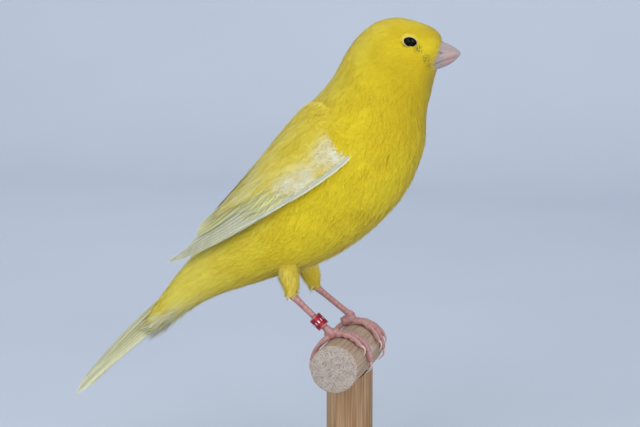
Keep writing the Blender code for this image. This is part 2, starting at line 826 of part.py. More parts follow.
def stand_base():
    """Flat round base with a rounded upper edge."""
    work = bmesh.new()
    bmesh.ops.create_cone(
        work, cap_ends=True, segments=48, radius1=BASE_RADIUS, radius2=BASE_RADIUS, depth=BASE_THICKNESS
    )
    bmesh.ops.translate(work, verts=work.verts, vec=(0.0, 0.0, BASE_THICKNESS / 2.0))
    rim = [edge for edge in work.edges if min(point.co.z for point in edge.verts) > BASE_THICKNESS - 0.1]
    bmesh.ops.bevel(work, geom=rim, offset=BASE_EDGE, segments=2, profile=0.5, affect="EDGES")
    mesh = bpy.data.meshes.new("stand_base")
    work.to_mesh(mesh)
    work.free()
    made = bpy.data.objects.new("stand_base", mesh)
    bpy.context.scene.collection.objects.link(made)
    return made


def stand_post():
    """Upright post with a hollow top that the perch lies in."""
    made = cylinder(
        "stand_post", (0.0, 0.0, BASE_THICKNESS + GAP), (0.0, 0.0, PERCH_HEIGHT), POST_RADIUS, 32
    )
    saddle = cylinder(
        "saddle", (0.0, -20.0, PERCH_HEIGHT), (0.0, 20.0, PERCH_HEIGHT), PERCH_RADIUS + GAP, 40
    )
    return cut_away(made, saddle)


def main():
    """Build every part of the model."""
    clear_scene()
    parts = bpy.data.collections.new("canary_on_perch")
    bpy.context.scene.collection.children.link(parts)
    clearance = loft("clearance", body_rings(4.0, len(BODY) - 1.0, GAP))
    finish(head(), "head", "plumage", parts)
    finish(part_body("neck", NECK_TOP, NECK_BASE), "neck", "plumage", parts)
    finish(part_body("torso", NECK_BASE, TAIL_ROOT), "torso", "plumage", parts)
    finish(tail(), "tail", "flight", parts)
    finish(wing(RIGHT, "wing_right", clearance), "wing_right", "flight", parts)
    finish(wing(LEFT, "wing_left", clearance), "wing_left", "flight", parts)
    for side, name in ((RIGHT, "eye_right"), (LEFT, "eye_left")):
        centre = (EYE_CENTRE[0], side * EYE_CENTRE[1], EYE_CENTRE[2])
        finish(sphere(name, centre, EYE_RADIUS), name, "eye", parts)
    finish(upper_bill(), "bill_upper", "bill", parts)
    finish(bill_half("bill_lower", KEEL, False), "bill_lower", "bill", parts)
    right = -LEG_OFFSET
    left = LEG_OFFSET
    finish(thigh("thigh_right", HEEL_RIGHT, FOOT_RIGHT, right, clearance, (-16.4, 65.0)), "thigh_right", "plumage", parts)
    finish(thigh("thigh_left", HEEL_LEFT, FOOT_LEFT, left, clearance, (-15.0, 64.5)), "thigh_left", "plumage", parts)
    finish(shank("shank_right", HEEL_RIGHT, FOOT_RIGHT, right), "shank_right", "skin", parts)
    finish(shank("shank_left", HEEL_LEFT, FOOT_LEFT, left), "shank_left", "skin", parts)
    right_toes = (
        ((-14.0, right), (92.0, right + 1.0), 4, 30.0),
        ((-14.0, right - 0.3), (50.0, right - 2.4), 4, 24.0),
        ((-14.0, right + 0.3), (62.0, right + 3.4), 3, 24.0),
        ((-24.0, right - 0.2), (-88.0, right - 5.4), 2, 32.0),
    )
    left_toes = (
        ((-10.0, left), (92.0, left + 0.4), 4, 30.0),
        ((-10.0, left + 0.3), (68.0, left + 4.2), 4, 26.0),
        ((-10.0, left - 0.3), (70.0, left - 2.6), 3, 26.0),
        ((-22.0, left + 0.2), (-84.0, left - 2.2), 2, 30.0),
    )
    finish(foot("foot_right", HEEL_RIGHT, FOOT_RIGHT, right, right_toes), "foot_right", "skin", parts)
    finish(foot("foot_left", HEEL_LEFT, FOOT_LEFT, left, left_toes), "foot_left", "skin", parts)
    finish(leg_ring(), "leg_ring", "ring", parts)
    perch = cylinder(
        "perch", (0.0, PERCH_NEAR, PERCH_HEIGHT), (0.0, PERCH_FAR, PERCH_HEIGHT), PERCH_RADIUS, 40
    )
    finish(perch, "perch", "dowel", parts)
    finish(stand_post(), "stand_post", "post", parts)
    finish(stand_base(), "stand_base", "stand", parts)
    bpy.data.objects.remove(clearance, do_unlink=True)


main()
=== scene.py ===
"""Canary perched on a short dowel over a plain round stand, as a still life-size model.

Sizes are millimetres in the frame of the solids, turned into metres as each mesh is made.
The bird looks along +X, its left side is +Y and +Z is up.
"""
import math

import bmesh
import bpy
import numpy as np
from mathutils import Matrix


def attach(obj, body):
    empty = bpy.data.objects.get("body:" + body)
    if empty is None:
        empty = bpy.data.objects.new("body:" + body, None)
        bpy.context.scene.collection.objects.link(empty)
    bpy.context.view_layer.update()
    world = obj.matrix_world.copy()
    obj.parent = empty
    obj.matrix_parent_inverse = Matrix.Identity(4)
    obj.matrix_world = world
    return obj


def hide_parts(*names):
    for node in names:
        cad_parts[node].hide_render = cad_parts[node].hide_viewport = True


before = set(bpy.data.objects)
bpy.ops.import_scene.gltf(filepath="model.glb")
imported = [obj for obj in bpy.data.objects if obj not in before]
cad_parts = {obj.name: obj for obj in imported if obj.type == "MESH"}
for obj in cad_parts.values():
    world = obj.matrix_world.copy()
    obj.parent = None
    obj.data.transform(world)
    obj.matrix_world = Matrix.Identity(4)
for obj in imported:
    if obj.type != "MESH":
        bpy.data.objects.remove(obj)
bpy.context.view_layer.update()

# Stand base: a flat round disc turned from beech, with its upper edge rounded over. It only
# holds the post upright, so it is sanded smooth and left unvarnished.
MM = 0.001
TURN = 2.0 * math.pi
BASE_RADIUS = 30.0
BASE_THICKNESS = 6.0
BASE_EDGE = 1.2
BASE_FOOT_BEVEL = 0.4
BASE_SIDES = 160
EDGE_STEPS = 6
SAWN_LIGHT = (0.4, 0.26, 0.15, 1.0)
SAWN_DARK = (0.3, 0.18, 0.1, 1.0)


def make_piece(name, points, faces, finish, closed=True):
    """Smooth mesh on the frame's body; closed pieces get their faces turned outward."""
    mesh = bpy.data.meshes.new(name)
    mesh.from_pydata(np.asarray(points, float) * MM, [], faces)
    if closed:
        work = bmesh.new()
        work.from_mesh(mesh)
        bmesh.ops.recalc_face_normals(work, faces=work.faces)
        if work.calc_volume(signed=True) < 0.0:
            bmesh.ops.reverse_faces(work, faces=work.faces)
        work.to_mesh(mesh)
        work.free()
    mesh.shade_smooth()
    mesh.materials.append(finish)
    made = bpy.data.objects.new(name, mesh)
    bpy.context.scene.collection.objects.link(made)
    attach(made, "root")
    return made


def loft(rings):
    """Points and faces of a closed body through rings with the same number of points."""
    rings = np.asarray(rings, float)
    count, sides = rings.shape[:2]
    faces = []
    for row in range(count - 1):
        low = row * sides
        high = low + sides
        for side in range(sides):
            after = (side + 1) % sides
            faces.append((low + side, low + after, high + after, high + side))
    faces.append(tuple(range(sides)))
    faces.append(tuple(range((count - 1) * sides, count * sides)))
    return rings.reshape(-1, 3), faces


def turned(profile, sides, centre, axis, across):
    """Rings of a turned body: profile is radius and place along the axis."""
    axis = np.asarray(axis, float)
    across = np.asarray(across, float)
    third = np.cross(axis, across)
    turns = np.linspace(0.0, TURN, sides, endpoint=False)
    rim = np.cos(turns)[:, None] * across + np.sin(turns)[:, None] * third
    return [np.asarray(centre, float) + axis * along + rim * radius for radius, along in profile]


class Wire:
    """One output in a material's node tree. Sums of wires and numbers add Math nodes."""

    def __init__(self, tree, socket=None):
        self.tree = tree
        self.socket = socket

    def node(self, kind, settings, sockets, out=0):
        """Add a node: settings first, then the value or wire of each of its sockets."""
        made = self.tree.nodes.new(kind)
        for key, value in settings.items():
            setattr(made, key, value)
        for key, value in sockets.items():
            if isinstance(value, Wire):
                self.tree.links.new(value.socket, made.inputs[key])
            else:
                made.inputs[key].default_value = value
        return Wire(self.tree, made.outputs[out])

    def maths(self, operation, first, second):
        """Math node of two values."""
        return self.node("ShaderNodeMath", {"operation": operation}, {0: first, 1: second})

    def __add__(self, other):
        return self.maths("ADD", self, other)

    def __radd__(self, other):
        return self.maths("ADD", other, self)

    def __sub__(self, other):
        return self.maths("SUBTRACT", self, other)

    def __rsub__(self, other):
        return self.maths("SUBTRACT", other, self)

    def __mul__(self, other):
        return self.maths("MULTIPLY", self, other)

    def __rmul__(self, other):
        return self.maths("MULTIPLY", other, self)

    def fade(self, low, high):
        """This value eased from 0 at low to 1 at high."""
        sockets = {"Value": self, "From Min": low, "From Max": high}
        return self.node("ShaderNodeMapRange", {"interpolation_type": "SMOOTHSTEP"}, sockets)

    def blend(self, first, second):
        """Colour from first to second as this value goes from 0 to 1."""
        sockets = {0: self, 6: first, 7: second}
        return self.node("ShaderNodeMix", {"data_type": "RGBA"}, sockets, 2)

    def place(self):
        """Position in the frame, in metres."""
        return self.node("ShaderNodeTexCoord", {}, {}, "Object")

    def axis(self, name):
        """One coordinate of the position, in millimetres."""
        parted = self.node("ShaderNodeSeparateXYZ", {}, {0: self.place()}, name)
        return parted * (1.0 / MM)

    def noise(self, size, detail=2.0, stretch=(1.0, 1.0, 1.0)):
        """Cloudy value from 0 to 1 with patches about size millimetres wide."""
        scale = tuple(1.0 / (size * MM * part) for part in stretch)
        where = self.node("ShaderNodeMapping", {}, {"Vector": self.place(), "Scale": scale})
        return self.node("ShaderNodeTexNoise", {}, {"Vector": where, "Scale": 1.0, "Detail": detail})

    def mark(self, name):
        """Value kept at each corner of the mesh under a name."""
        return self.node("ShaderNodeAttribute", {"attribute_name": name}, {}, "Fac")


def new_finish(name, paint):
    """Material whose paint function gives its colour, roughness, relief, relief depth in
    millimetres and the shader's constants."""
    made = bpy.data.materials.new(name)
    made.use_nodes = True
    start = Wire(made.node_tree)
    colour, roughness, relief, depth, constants = paint(start)
    shader = made.node_tree.nodes["Principled BSDF"]
    made.node_tree.links.new(colour.socket, shader.inputs["Base Color"])
    made.node_tree.links.new(roughness.socket, shader.inputs["Roughness"])
    bump = start.node("ShaderNodeBump", {}, {"Distance": depth * MM, "Height": relief})
    made.node_tree.links.new(bump.socket, shader.inputs["Normal"])
    for key, value in constants.items():
        shader.inputs[key].default_value = value
    return made


def wood_paint(light, dark, along, ends):
    """Paint of bare wood with its grain along an axis and cut pores on the ends."""
    def paint(start):
        stretch = [1.0, 1.0, 1.0]
        stretch[along] = 28.0
        grain = start.noise(0.55, 3.0, stretch)
        streak = start.noise(2.2, 2.0, stretch)
        lengthwise = (grain * 0.6 + streak * 0.4).fade(0.36, 0.64)
        pores = start.noise(0.32, 1.0).fade(0.5, 0.66)
        rings = start.noise(1.6).fade(0.3, 0.7)
        cut = (pores * 0.65 + rings * 0.35).fade(0.0, 1.0)
        facing = start.node("ShaderNodeTexCoord", {}, {}, "Normal")
        facing = start.node("ShaderNodeSeparateXYZ", {}, {0: facing}, along)
        end = start.maths("ABSOLUTE", facing, 0.0).fade(0.8, 0.95)
        shade = end * cut + (1.0 - end) * lengthwise
        colour = shade.blend(light, dark)
        colour = end.blend(colour, shade.blend(ends[0], ends[1]))
        return colour, shade * 0.12 + 0.55, shade * -1.0, 0.05, {"Specular IOR Level": 0.35}
    return paint


beech = new_finish("beech", wood_paint(
    (0.47, 0.29, 0.15, 1.0), (0.33, 0.18, 0.085, 1.0), 0, (SAWN_LIGHT, SAWN_DARK)
))
base_profile = [(BASE_RADIUS - BASE_FOOT_BEVEL, 0.0), (BASE_RADIUS, BASE_FOOT_BEVEL)]
for step in range(EDGE_STEPS + 1):
    bend = math.pi / 2.0 * step / EDGE_STEPS
    rim = BASE_RADIUS - BASE_EDGE * (1.0 - math.cos(bend))
    base_profile.append((rim, BASE_THICKNESS - BASE_EDGE * (1.0 - math.sin(bend))))
base_profile.append((BASE_RADIUS * 0.5, BASE_THICKNESS))
disc = turned(base_profile, BASE_SIDES, (0, 0, 0), (0, 0, 1), (1, 0, 0))
base = make_piece("base_disc", *loft(disc), beech)
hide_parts("stand_base")

# Post: a round peg of the same wood under the dowel, hollowed at its top so that the dowel
# lies in it. Its shape is the solid's own, with the grain running up it.
post_wood = new_finish("post_wood", wood_paint(
    (0.42, 0.28, 0.16, 1.0), (0.27, 0.155, 0.075, 1.0), 2, (SAWN_LIGHT, SAWN_DARK)
))
post_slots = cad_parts["stand_post"].data.materials
post_slots.clear()
post_slots.append(post_wood)

# Perch: a short cut length of pale hardwood dowel laid across the post. The saw left its ends
# rough, with open pores in the end grain and a faint chamfer.
PERCH_RADIUS = 6.5
PERCH_HEIGHT = 35.0
PERCH_NEAR = -19.0
PERCH_FAR = 14.5
PERCH_CHAMFER = 0.35
PERCH_SIDES = 96

dowel = new_finish("dowel", wood_paint(
    (0.50, 0.37, 0.27, 1.0), (0.36, 0.24, 0.16, 1.0), 1,
    ((0.42, 0.36, 0.31, 1.0), (0.24, 0.18, 0.15, 1.0)),
))
perch_profile = []
for place, inward in ((PERCH_NEAR, 1.0), (PERCH_FAR, -1.0)):
    bevel = [(PERCH_RADIUS - PERCH_CHAMFER, place), (PERCH_RADIUS - 0.1, place + inward * 0.1)]
    bevel.append((PERCH_RADIUS, place + inward * PERCH_CHAMFER))
    bevel.append((PERCH_RADIUS, place + inward * 2.0))
    perch_profile.extend(bevel if inward > 0.0 else bevel[::-1])
rod = turned(perch_profile, PERCH_SIDES, (0, 0, PERCH_HEIGHT), (0, 1, 0), (1, 0, 0))
perch = make_piece("perch_dowel", *loft(rod), dowel)
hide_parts("perch")

# Legs: bare pink skin over bone and tendon, with overlapping horny scutes down the front of
# the shank and the top of the toes, soft pads under the joints and a heel swelling on top.
RIGHT = -1.0
LEFT = 1.0
LEG_OFFSET = 8.5
HEELS = {RIGHT: (-14.2, 52.5), LEFT: (-12.1, 51.9)}
ANKLES = {RIGHT: (-4.6, 43.7), LEFT: (-2.1, 44.3)}
SHANK_RADIUS = 0.86
HEEL_SWELL = 0.4
TOE_RADIUS = 0.86
TOE_CLEAR = 0.3
LIMB_SIDES = 20
SHANK_SCUTE = 0.16
PALM_SCUTE = 0.12
TOE_SCUTE = 0.13
SIDE_NAMES = {RIGHT: "right", LEFT: "left"}
# Each toe: its root and its tip, as degrees forward of the dowel's top and place along it,
# then its number of joints and the length of its claw in degrees.
TOES = {
    RIGHT: (
        ((-14.0, -8.5), (92.0, -7.5), 4, 30.0),
        ((-14.0, -8.8), (50.0, -10.9), 4, 24.0),
        ((-14.0, -8.2), (62.0, -5.1), 3, 24.0),
        ((-24.0, -8.7), (-88.0, -13.9), 2, 32.0),
    ),
    LEFT: (
        ((-10.0, 8.5), (92.0, 8.9), 4, 30.0),
        ((-10.0, 8.8), (68.0, 12.7), 4, 26.0),
        ((-10.0, 8.2), (70.0, 5.9), 3, 26.0),
        ((-22.0, 8.7), (-84.0, 6.3), 2, 30.0),
    ),
}


def unit(vectors):
    """The same directions at length one."""
    vectors = np.asarray(vectors, float)
    return vectors / np.maximum(np.linalg.norm(vectors, axis=-1, keepdims=True), 1e-9)


def trace(rows, place):
    """Smooth curve through evenly numbered rows, read at many places, straight past its ends."""
    rows = np.asarray(rows, float)
    place = np.asarray(place, float)
    last = len(rows) - 1
    index = np.clip(np.floor(place).astype(int), 0, last - 1)
    whole = (place - index)[..., None]
    part = np.clip(whole, 0.0, 1.0)
    here = rows[index]
    after = rows[index + 1]
    slope_here = (rows[np.minimum(index + 1, last)] - rows[np.maximum(index - 1, 0)]) / 2.0
    slope_after = (rows[np.minimum(index + 2, last)] - rows[index]) / 2.0
    square = part * part
    cube = square * part
    value = here * (2.0 * cube - 3.0 * square + 1.0) + slope_here * (cube - 2.0 * square + part)
    value = value + after * (3.0 * square - 2.0 * cube) + slope_after * (cube - square)
    return value + (whole - part) * (after - here)


def tube(path, ups, radii, sides=LIMB_SIDES):
    """Rings round a path; each ring starts on its upper side, given by ups."""
    path = np.asarray(path, float)
    ahead = unit(np.gradient(path, axis=0))
    ups = unit(ups - ahead * np.sum(ups * ahead, axis=1, keepdims=True))
    across = np.cross(ahead, ups)
    turns = np.linspace(0.0, TURN, sides, endpoint=False)
    radii = np.asarray(radii, float)
    if radii.ndim == 1:
        radii = np.repeat(radii[:, None], sides, axis=1)
    turns = turns[None, :, None]
    rim = ups[:, None] * np.cos(turns) + across[:, None] * np.sin(turns)
    return path[:, None] + rim * radii[:, :, None]


def scuted(length_parts, radii, scutes, depth):
    """Radii round and along a limb, with plates stepping on its upper side."""
    turns = np.linspace(0.0, TURN, LIMB_SIDES, endpoint=False)
    plate = np.mod(length_parts * scutes, 1.0)
    step = (1.0 - plate) ** 0.5 * np.minimum(plate / 0.12, 1.0)
    top = np.clip(np.cos(turns) * 1.4 + 0.35, 0.0, 1.0)
    return radii[:, None] + depth * step[:, None] * top[None, :]


def leg_paint(start):
    """Pink skin, darker between the scutes, with pale pads under the toes."""
    blotch = start.noise(1.4, 3.0).fade(0.3, 0.7)
    fine = start.noise(0.16).fade(0.35, 0.7)
    plate = start.mark("plate")
    pad = start.mark("pad")
    colour = blotch.blend((0.42, 0.205, 0.195, 1.0), (0.34, 0.135, 0.13, 1.0))
    colour = (plate * 0.6).blend(colour, (0.56, 0.36, 0.33, 1.0))
    colour = (pad * 0.7).blend(colour, (0.56, 0.41, 0.37, 1.0))
    relief = fine * 0.6 + plate * 0.4
    constants = {"Subsurface Weight": 0.2, "Subsurface Scale": 0.0012, "Specular IOR Level": 0.45}
    return colour, fine * 0.15 + 0.42, relief, 0.03, constants


def claw_paint(start):
    """Translucent horn, pink where the quick shows through and pale toward the point."""
    streak = start.noise(0.4).fade(0.3, 0.7)
    toward = start.mark("plate")
    colour = streak.blend((0.58, 0.40, 0.36, 1.0), (0.52, 0.33, 0.29, 1.0))
    colour = toward.blend(colour, (0.66, 0.57, 0.52, 1.0))
    constants = {"Subsurface Weight": 0.25, "Subsurface Scale": 0.001}
    return colour, streak * 0.1 + 0.22, streak, 0.01, constants


leg_skin = new_finish("leg_skin", leg_paint)
claw_horn = new_finish("claw_horn", claw_paint)


def keep_mark(mesh, name, values):
    """Store one value at each corner of a mesh."""
    layer = mesh.attributes.new(name, "FLOAT", "POINT")
    layer.data.foreach_set("value", np.ravel(values).astype(np.float32))


def join_rings(groups):
    """One set of points and faces from several lofted bodies."""
    points = []
    faces = []
    count = 0
    for rings in groups:
        ring_points, ring_faces = loft(rings)
        points.append(ring_points)
        faces.extend(tuple(count + corner for corner in face) for face in ring_faces)
        count += len(ring_points)
    return np.concatenate(points), faces


def perch_point(around, across, clear):
    """Points over the dowel: degrees forward from its top, place along it, height off it."""
    turn = np.radians(around)
    reach = PERCH_RADIUS + clear
    place = np.broadcast_to(across, np.shape(turn))
    return np.stack([reach * np.sin(turn), place, PERCH_HEIGHT + reach * np.cos(turn)], -1)


def leg_ends(side):
    """Heel and ankle of one leg."""
    return [np.array([end[side][0], side * LEG_OFFSET, end[side][1]]) for end in (HEELS, ANKLES)]


def shank(side):
    """Scuted shank from the heel to the foot."""
    heel, ankle = leg_ends(side)
    part = np.linspace(0.0, 1.0, 121)
    path = heel + (ankle - heel) * part[:, None]
    radii = SHANK_RADIUS * 0.93 + HEEL_SWELL * np.exp(-part * 8.0) + 0.1 * np.exp(-(1.0 - part) * 9.0)
    ups = np.tile([1.0, 0.0, 0.6], (len(part), 1))
    grown = scuted(part, radii, 9.0, SHANK_SCUTE)
    rings = tube(path, ups, grown)
    made = make_piece("shank_" + SIDE_NAMES[side] + "_skin", *loft(rings), leg_skin)
    plate = (grown - radii[:, None]) / SHANK_SCUTE
    keep_mark(made.data, "plate", plate)
    keep_mark(made.data, "pad", plate * 0.0)
    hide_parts("shank_" + SIDE_NAMES[side])


def toe_rings(start, end, joints, radius):
    """Rings, plate and pad marks of one toe lying over the dowel."""
    part = np.linspace(0.0, 1.0, 12 * joints + 1)
    bone = np.abs(np.sin(math.pi * part * joints))
    slim = radius * (1.0 - 0.24 * part)
    radii = slim * (0.86 + 0.14 * bone)
    radii[-1] *= 0.55
    around = start[0] + (end[0] - start[0]) * part
    across = start[1] + (end[1] - start[1]) * part
    path = perch_point(around, across, TOE_CLEAR + slim)
    ups = path - perch_point(around, across, -PERCH_RADIUS)
    grown = scuted(part, radii, 3.0 * joints + 1.0, TOE_SCUTE * radius)
    turns = np.linspace(0.0, TURN, LIMB_SIDES, endpoint=False)
    below = np.clip(-np.cos(turns), 0.0, 1.0)[None, :]
    grown = grown + radius * 0.14 * below * bone[:, None] ** 2
    plate = np.clip((grown - radii[:, None]) / (TOE_SCUTE * radius), 0.0, 1.0)
    return tube(path, ups, grown), plate * (1.0 - below), below * bone[:, None]


def claw_rings(end, radius, length):
    """Rings of one curved claw from the end of its toe to its point."""
    part = np.linspace(0.0, 1.0, 15)
    turn = 1.0 if end[0] > 0.0 else -1.0
    around = end[0] + turn * (length * part - 4.0)
    arch = np.sin(math.pi * np.minimum(part * 1.1, 1.0)) * 0.62
    path = perch_point(around, end[1], TOE_CLEAR + radius * 0.75 + arch - 0.3 * part)
    ups = path - perch_point(around, end[1], -PERCH_RADIUS)
    return tube(path, ups, radius * (0.6 - 0.5 * part ** 0.8), 14)


def foot(side):
    """Foot gripping the dowel: palm and four toes in one piece, claws in another."""
    heel, ankle = leg_ends(side)
    down = unit(ankle - heel)
    lead = TOES[side][0][0][0]
    palm = np.concatenate([
        [ankle - down * 0.4, ankle + down * 0.7],
        perch_point(np.array([-27.0, -17.0, lead + 8.0]), side * LEG_OFFSET, TOE_CLEAR + 1.2),
    ])
    part = np.linspace(0.0, 1.0, 31)
    path = trace(palm, part * 4.0)
    radii = trace([[1.0], [1.15], [1.4], [1.3], [0.85]], part * 4.0)[:, 0]
    ups = np.tile([0.9, 0.0, 0.5], (len(part), 1))
    grown = scuted(part, radii, 5.0, PALM_SCUTE)
    groups = [tube(path, ups, grown)]
    plates = [(grown - radii[:, None]) / PALM_SCUTE]
    pads = [plates[0] * 0.0]
    claws = []
    for index, (start, end, joints, claw) in enumerate(TOES[side]):
        radius = TOE_RADIUS - 0.03 * index
        rings, plate, pad = toe_rings(start, end, joints, radius)
        groups.append(rings)
        plates.append(plate)
        pads.append(pad)
        claws.append(claw_rings(end, radius, claw))
    name = "foot_" + SIDE_NAMES[side]
    made = make_piece(name + "_skin", *join_rings(groups), leg_skin)
    keep_mark(made.data, "plate", np.concatenate([values.ravel() for values in plates]))
    keep_mark(made.data, "pad", np.concatenate([values.ravel() for values in pads]))
    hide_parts(name)
    horn = make_piece("claws_" + SIDE_NAMES[side], *join_rings(claws), claw_horn)
    toward = [np.repeat(np.linspace(0.0, 1.0, len(rings)), rings.shape[1]) for rings in claws]
    keep_mark(horn.data, "plate", np.concatenate(toward))


for side in (RIGHT, LEFT):
    shank(side)
    foot(side)

# Leg ring: a closed aluminium band slipped over the foot of the chick, anodised red. Its face
# carries only plain engraved strokes, and its edges are worn to bright metal.
RING_INNER = 1.4
RING_OUTER = 1.8
RING_LENGTH = 3.7
RING_FROM_ANKLE = 0.9
RING_SIDES = 96
RING_WORN = 0.35
STROKE_PITCH = 30.0
STROKE_HALF_WIDTH = 4.0
STROKE_HALF_LENGTH = 0.45


def ring_paint(start):
    """Red anodised metal, brighter at its worn edges, with fine scratches."""
    scratch = start.noise(0.12, 2.0, (1.0, 1.0, 6.0)).fade(0.45, 0.62)
    worn = start.mark("edge")
    stroke = start.mark("stroke")
    colour = scratch.blend((0.29, 0.009, 0.024, 1.0), (0.38, 0.022, 0.042, 1.0))
    colour = (stroke * 0.85).blend(colour, (0.7, 0.62, 0.62, 1.0))
    colour = worn.blend(colour, (0.62, 0.40, 0.40, 1.0))
    return colour, scratch * 0.15 + 0.28, scratch, 0.01, {"Metallic": 0.55}


anodised = new_finish("anodised_red", ring_paint)
heel, ankle = leg_ends(RIGHT)
run = unit(ankle - heel)
ring_end = ankle - run * RING_FROM_ANKLE
edge = [(RING_INNER, 0.0), (RING_OUTER - 0.12, 0.0), (RING_OUTER - 0.04, 0.05), (RING_OUTER, 0.14)]
band_profile = edge + [(RING_OUTER, RING_LENGTH * step / 24.0) for step in range(1, 24)]
band_profile += [(radius, RING_LENGTH - along) for radius, along in edge[::-1]]
band_profile += [(RING_INNER, RING_LENGTH * step / 4.0) for step in range(3, -1, -1)]
band = turned(band_profile, RING_SIDES, ring_end, -run, (0.0, -1.0, 0.0))
band_points, band_faces = loft(band)
band_piece = make_piece("leg_ring_band", band_points, band_faces[:-2], anodised)
around = np.tile(np.linspace(0.0, 360.0, RING_SIDES, endpoint=False), len(band))
along = np.repeat([along for _, along in band_profile], RING_SIDES)
outside = np.repeat([radius > RING_OUTER - 0.01 for radius, _ in band_profile], RING_SIDES)
rim = np.minimum(along, RING_LENGTH - along)
worn = np.clip(RING_WORN - rim, 0.0, RING_WORN) / RING_WORN
keep_mark(band_piece.data, "edge", np.where(outside, worn, 0.6))
strokes = np.abs(np.mod(around, STROKE_PITCH) - STROKE_PITCH / 2.0) < STROKE_HALF_WIDTH
strokes &= np.abs(along - RING_LENGTH / 2.0) < STROKE_HALF_LENGTH
keep_mark(band_piece.data, "stroke", np.where(strokes & outside, 1.0, 0.0))
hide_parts("leg_ring")

# Body: one skin over the head, neck, trunk and tail root, with no seam. It lies under the
# feathers by their depth and has their colours at the root, deepened as painted shade, so that no gap
# between them looks bare.
# Each row is a section from beak to tail: X and Z on the back, X and Z under the belly, half
# its width, where between them it is widest, and how far the wings' gap lowers the back.
BODY = [
    (25.0, 121.3, 23.2, 114.4, 3.5, 0.52, 0.0),
    (24.1, 124.0, 22.8, 112.6, 5.3, 0.54, 0.0),
    (21.7, 125.8, 22.3, 110.6, 7.0, 0.54, 0.0),
    (17.7, 127.2, 22.0, 108.7, 8.3, 0.54, 0.0),
    (12.2, 128.1, 21.8, 106.8, 9.1, 0.54, 0.0),
    (6.7, 126.7, 21.4, 104.9, 9.5, 0.53, 0.0),
    (2.1, 123.1, 21.1, 103.0, 9.9, 0.52, 0.0),
    (-1.5, 118.2, 20.9, 100.3, 10.7, 0.50, 0.0),
    (-4.9, 111.9, 20.9, 96.8, 12.3, 0.48, 0.2),
    (-9.0, 106.9, 20.7, 93.0, 14.1, 0.47, 0.4),
    (-14.1, 102.2, 19.3, 88.6, 15.4, 0.46, 1.2),
    (-19.8, 95.1, 16.4, 81.7, 16.0, 0.46, 2.6),
    (-26.4, 86.1, 10.9, 74.5, 15.8, 0.47, 3.3),
    (-32.2, 77.8, 2.8, 67.1, 14.8, 0.48, 3.4),
    (-37.2, 70.8, -6.8, 61.1, 12.9, 0.50, 2.8),
    (-41.7, 65.2, -16.8, 57.6, 10.6, 0.50, 1.2),
    (-45.9, 60.1, -26.9, 54.0, 8.3, 0.50, -0.2),
    (-49.8, 55.7, -36.8, 50.3, 6.5, 0.50, -0.1),
    (-53.4, 51.0, -45.7, 45.6, 4.9, 0.50, 0.0),
    (-55.8, 47.7, -51.1, 42.6, 3.8, 0.50, 0.0),
]
BODY_END = len(BODY) - 1.0
DUSKY_SPOTS = (((20.0, 7.5, 120.2), 1.7), ((22.2, 6.8, 117.5), 1.7), ((22.6, 6.0, 115.5), 1.3))
EYE_CENTRE = (17.5, 5.6, 122.0)
EYE_RADIUS = 2.1
OPENING_LENGTH = 1.82
OPENING_HEIGHT = 1.28
SKIN_MARGIN = 1.25
FEATHER_MARGIN = 1.12
COAT_DEPTHS = ((0.0, 0.3), (1.0, 0.45), (4.0, 0.7), (8.0, 1.1), (12.0, 1.4), (19.0, 1.2))
MANTLE_REACH = 0.42


def body_spot(place, angle, swell=0.0):
    """Points on the body: places count sections, angles run from the back over the right side."""
    rows = trace(BODY, place)
    zero = rows[..., 0] * 0.0
    back = np.stack([rows[..., 0], zero, rows[..., 1]], -1)
    belly = np.stack([rows[..., 2], zero, rows[..., 3]], -1)
    down = unit(belly - back)
    back = back + down * (rows[..., 6] - swell)[..., None]
    belly = belly + down * (swell + zero)[..., None]
    centre = back + (belly - back) * rows[..., 5][..., None]
    upright = np.cos(angle)[..., None]
    reach = np.where(upright > 0.0, back - centre, centre - belly)
    side = np.stack([zero, -(rows[..., 4] + swell) * np.sin(angle), zero], -1)
    return centre + reach * upright + side


def eye_axes(side):
    """Centre of one eye and its outward, forward and upward directions."""
    centre = np.array([EYE_CENTRE[0], side * EYE_CENTRE[1], EYE_CENTRE[2]])
    outward = unit(np.array([0.2, side * 1.0, -0.05]))
    forward = np.array([1.0, 0.0, -0.3])
    forward = unit(forward - outward * float(forward @ outward))
    upward = np.cross(outward, forward)
    return centre, outward, forward, upward if upward[2] > 0.0 else -upward


def eye_bare(points, margin):
    """Where the lids and eyes leave no room for feathers or skin."""
    bare = np.zeros(points.shape[:-1], bool)
    for side in (RIGHT, LEFT):
        centre, outward, forward, upward = eye_axes(side)
        apart = points - centre
        across = apart @ forward / (OPENING_LENGTH * margin)
        high = apart @ upward / (OPENING_HEIGHT * margin)
        high = np.where(high < 0.0, high * 0.88, high)
        bare |= (across ** 2 + high ** 2 < 1.0) & (apart @ outward > 0.0)
    return bare


def coat_depth(place):
    """Depth of the plumage over the skin at each place."""
    return np.interp(place, *zip(*COAT_DEPTHS))


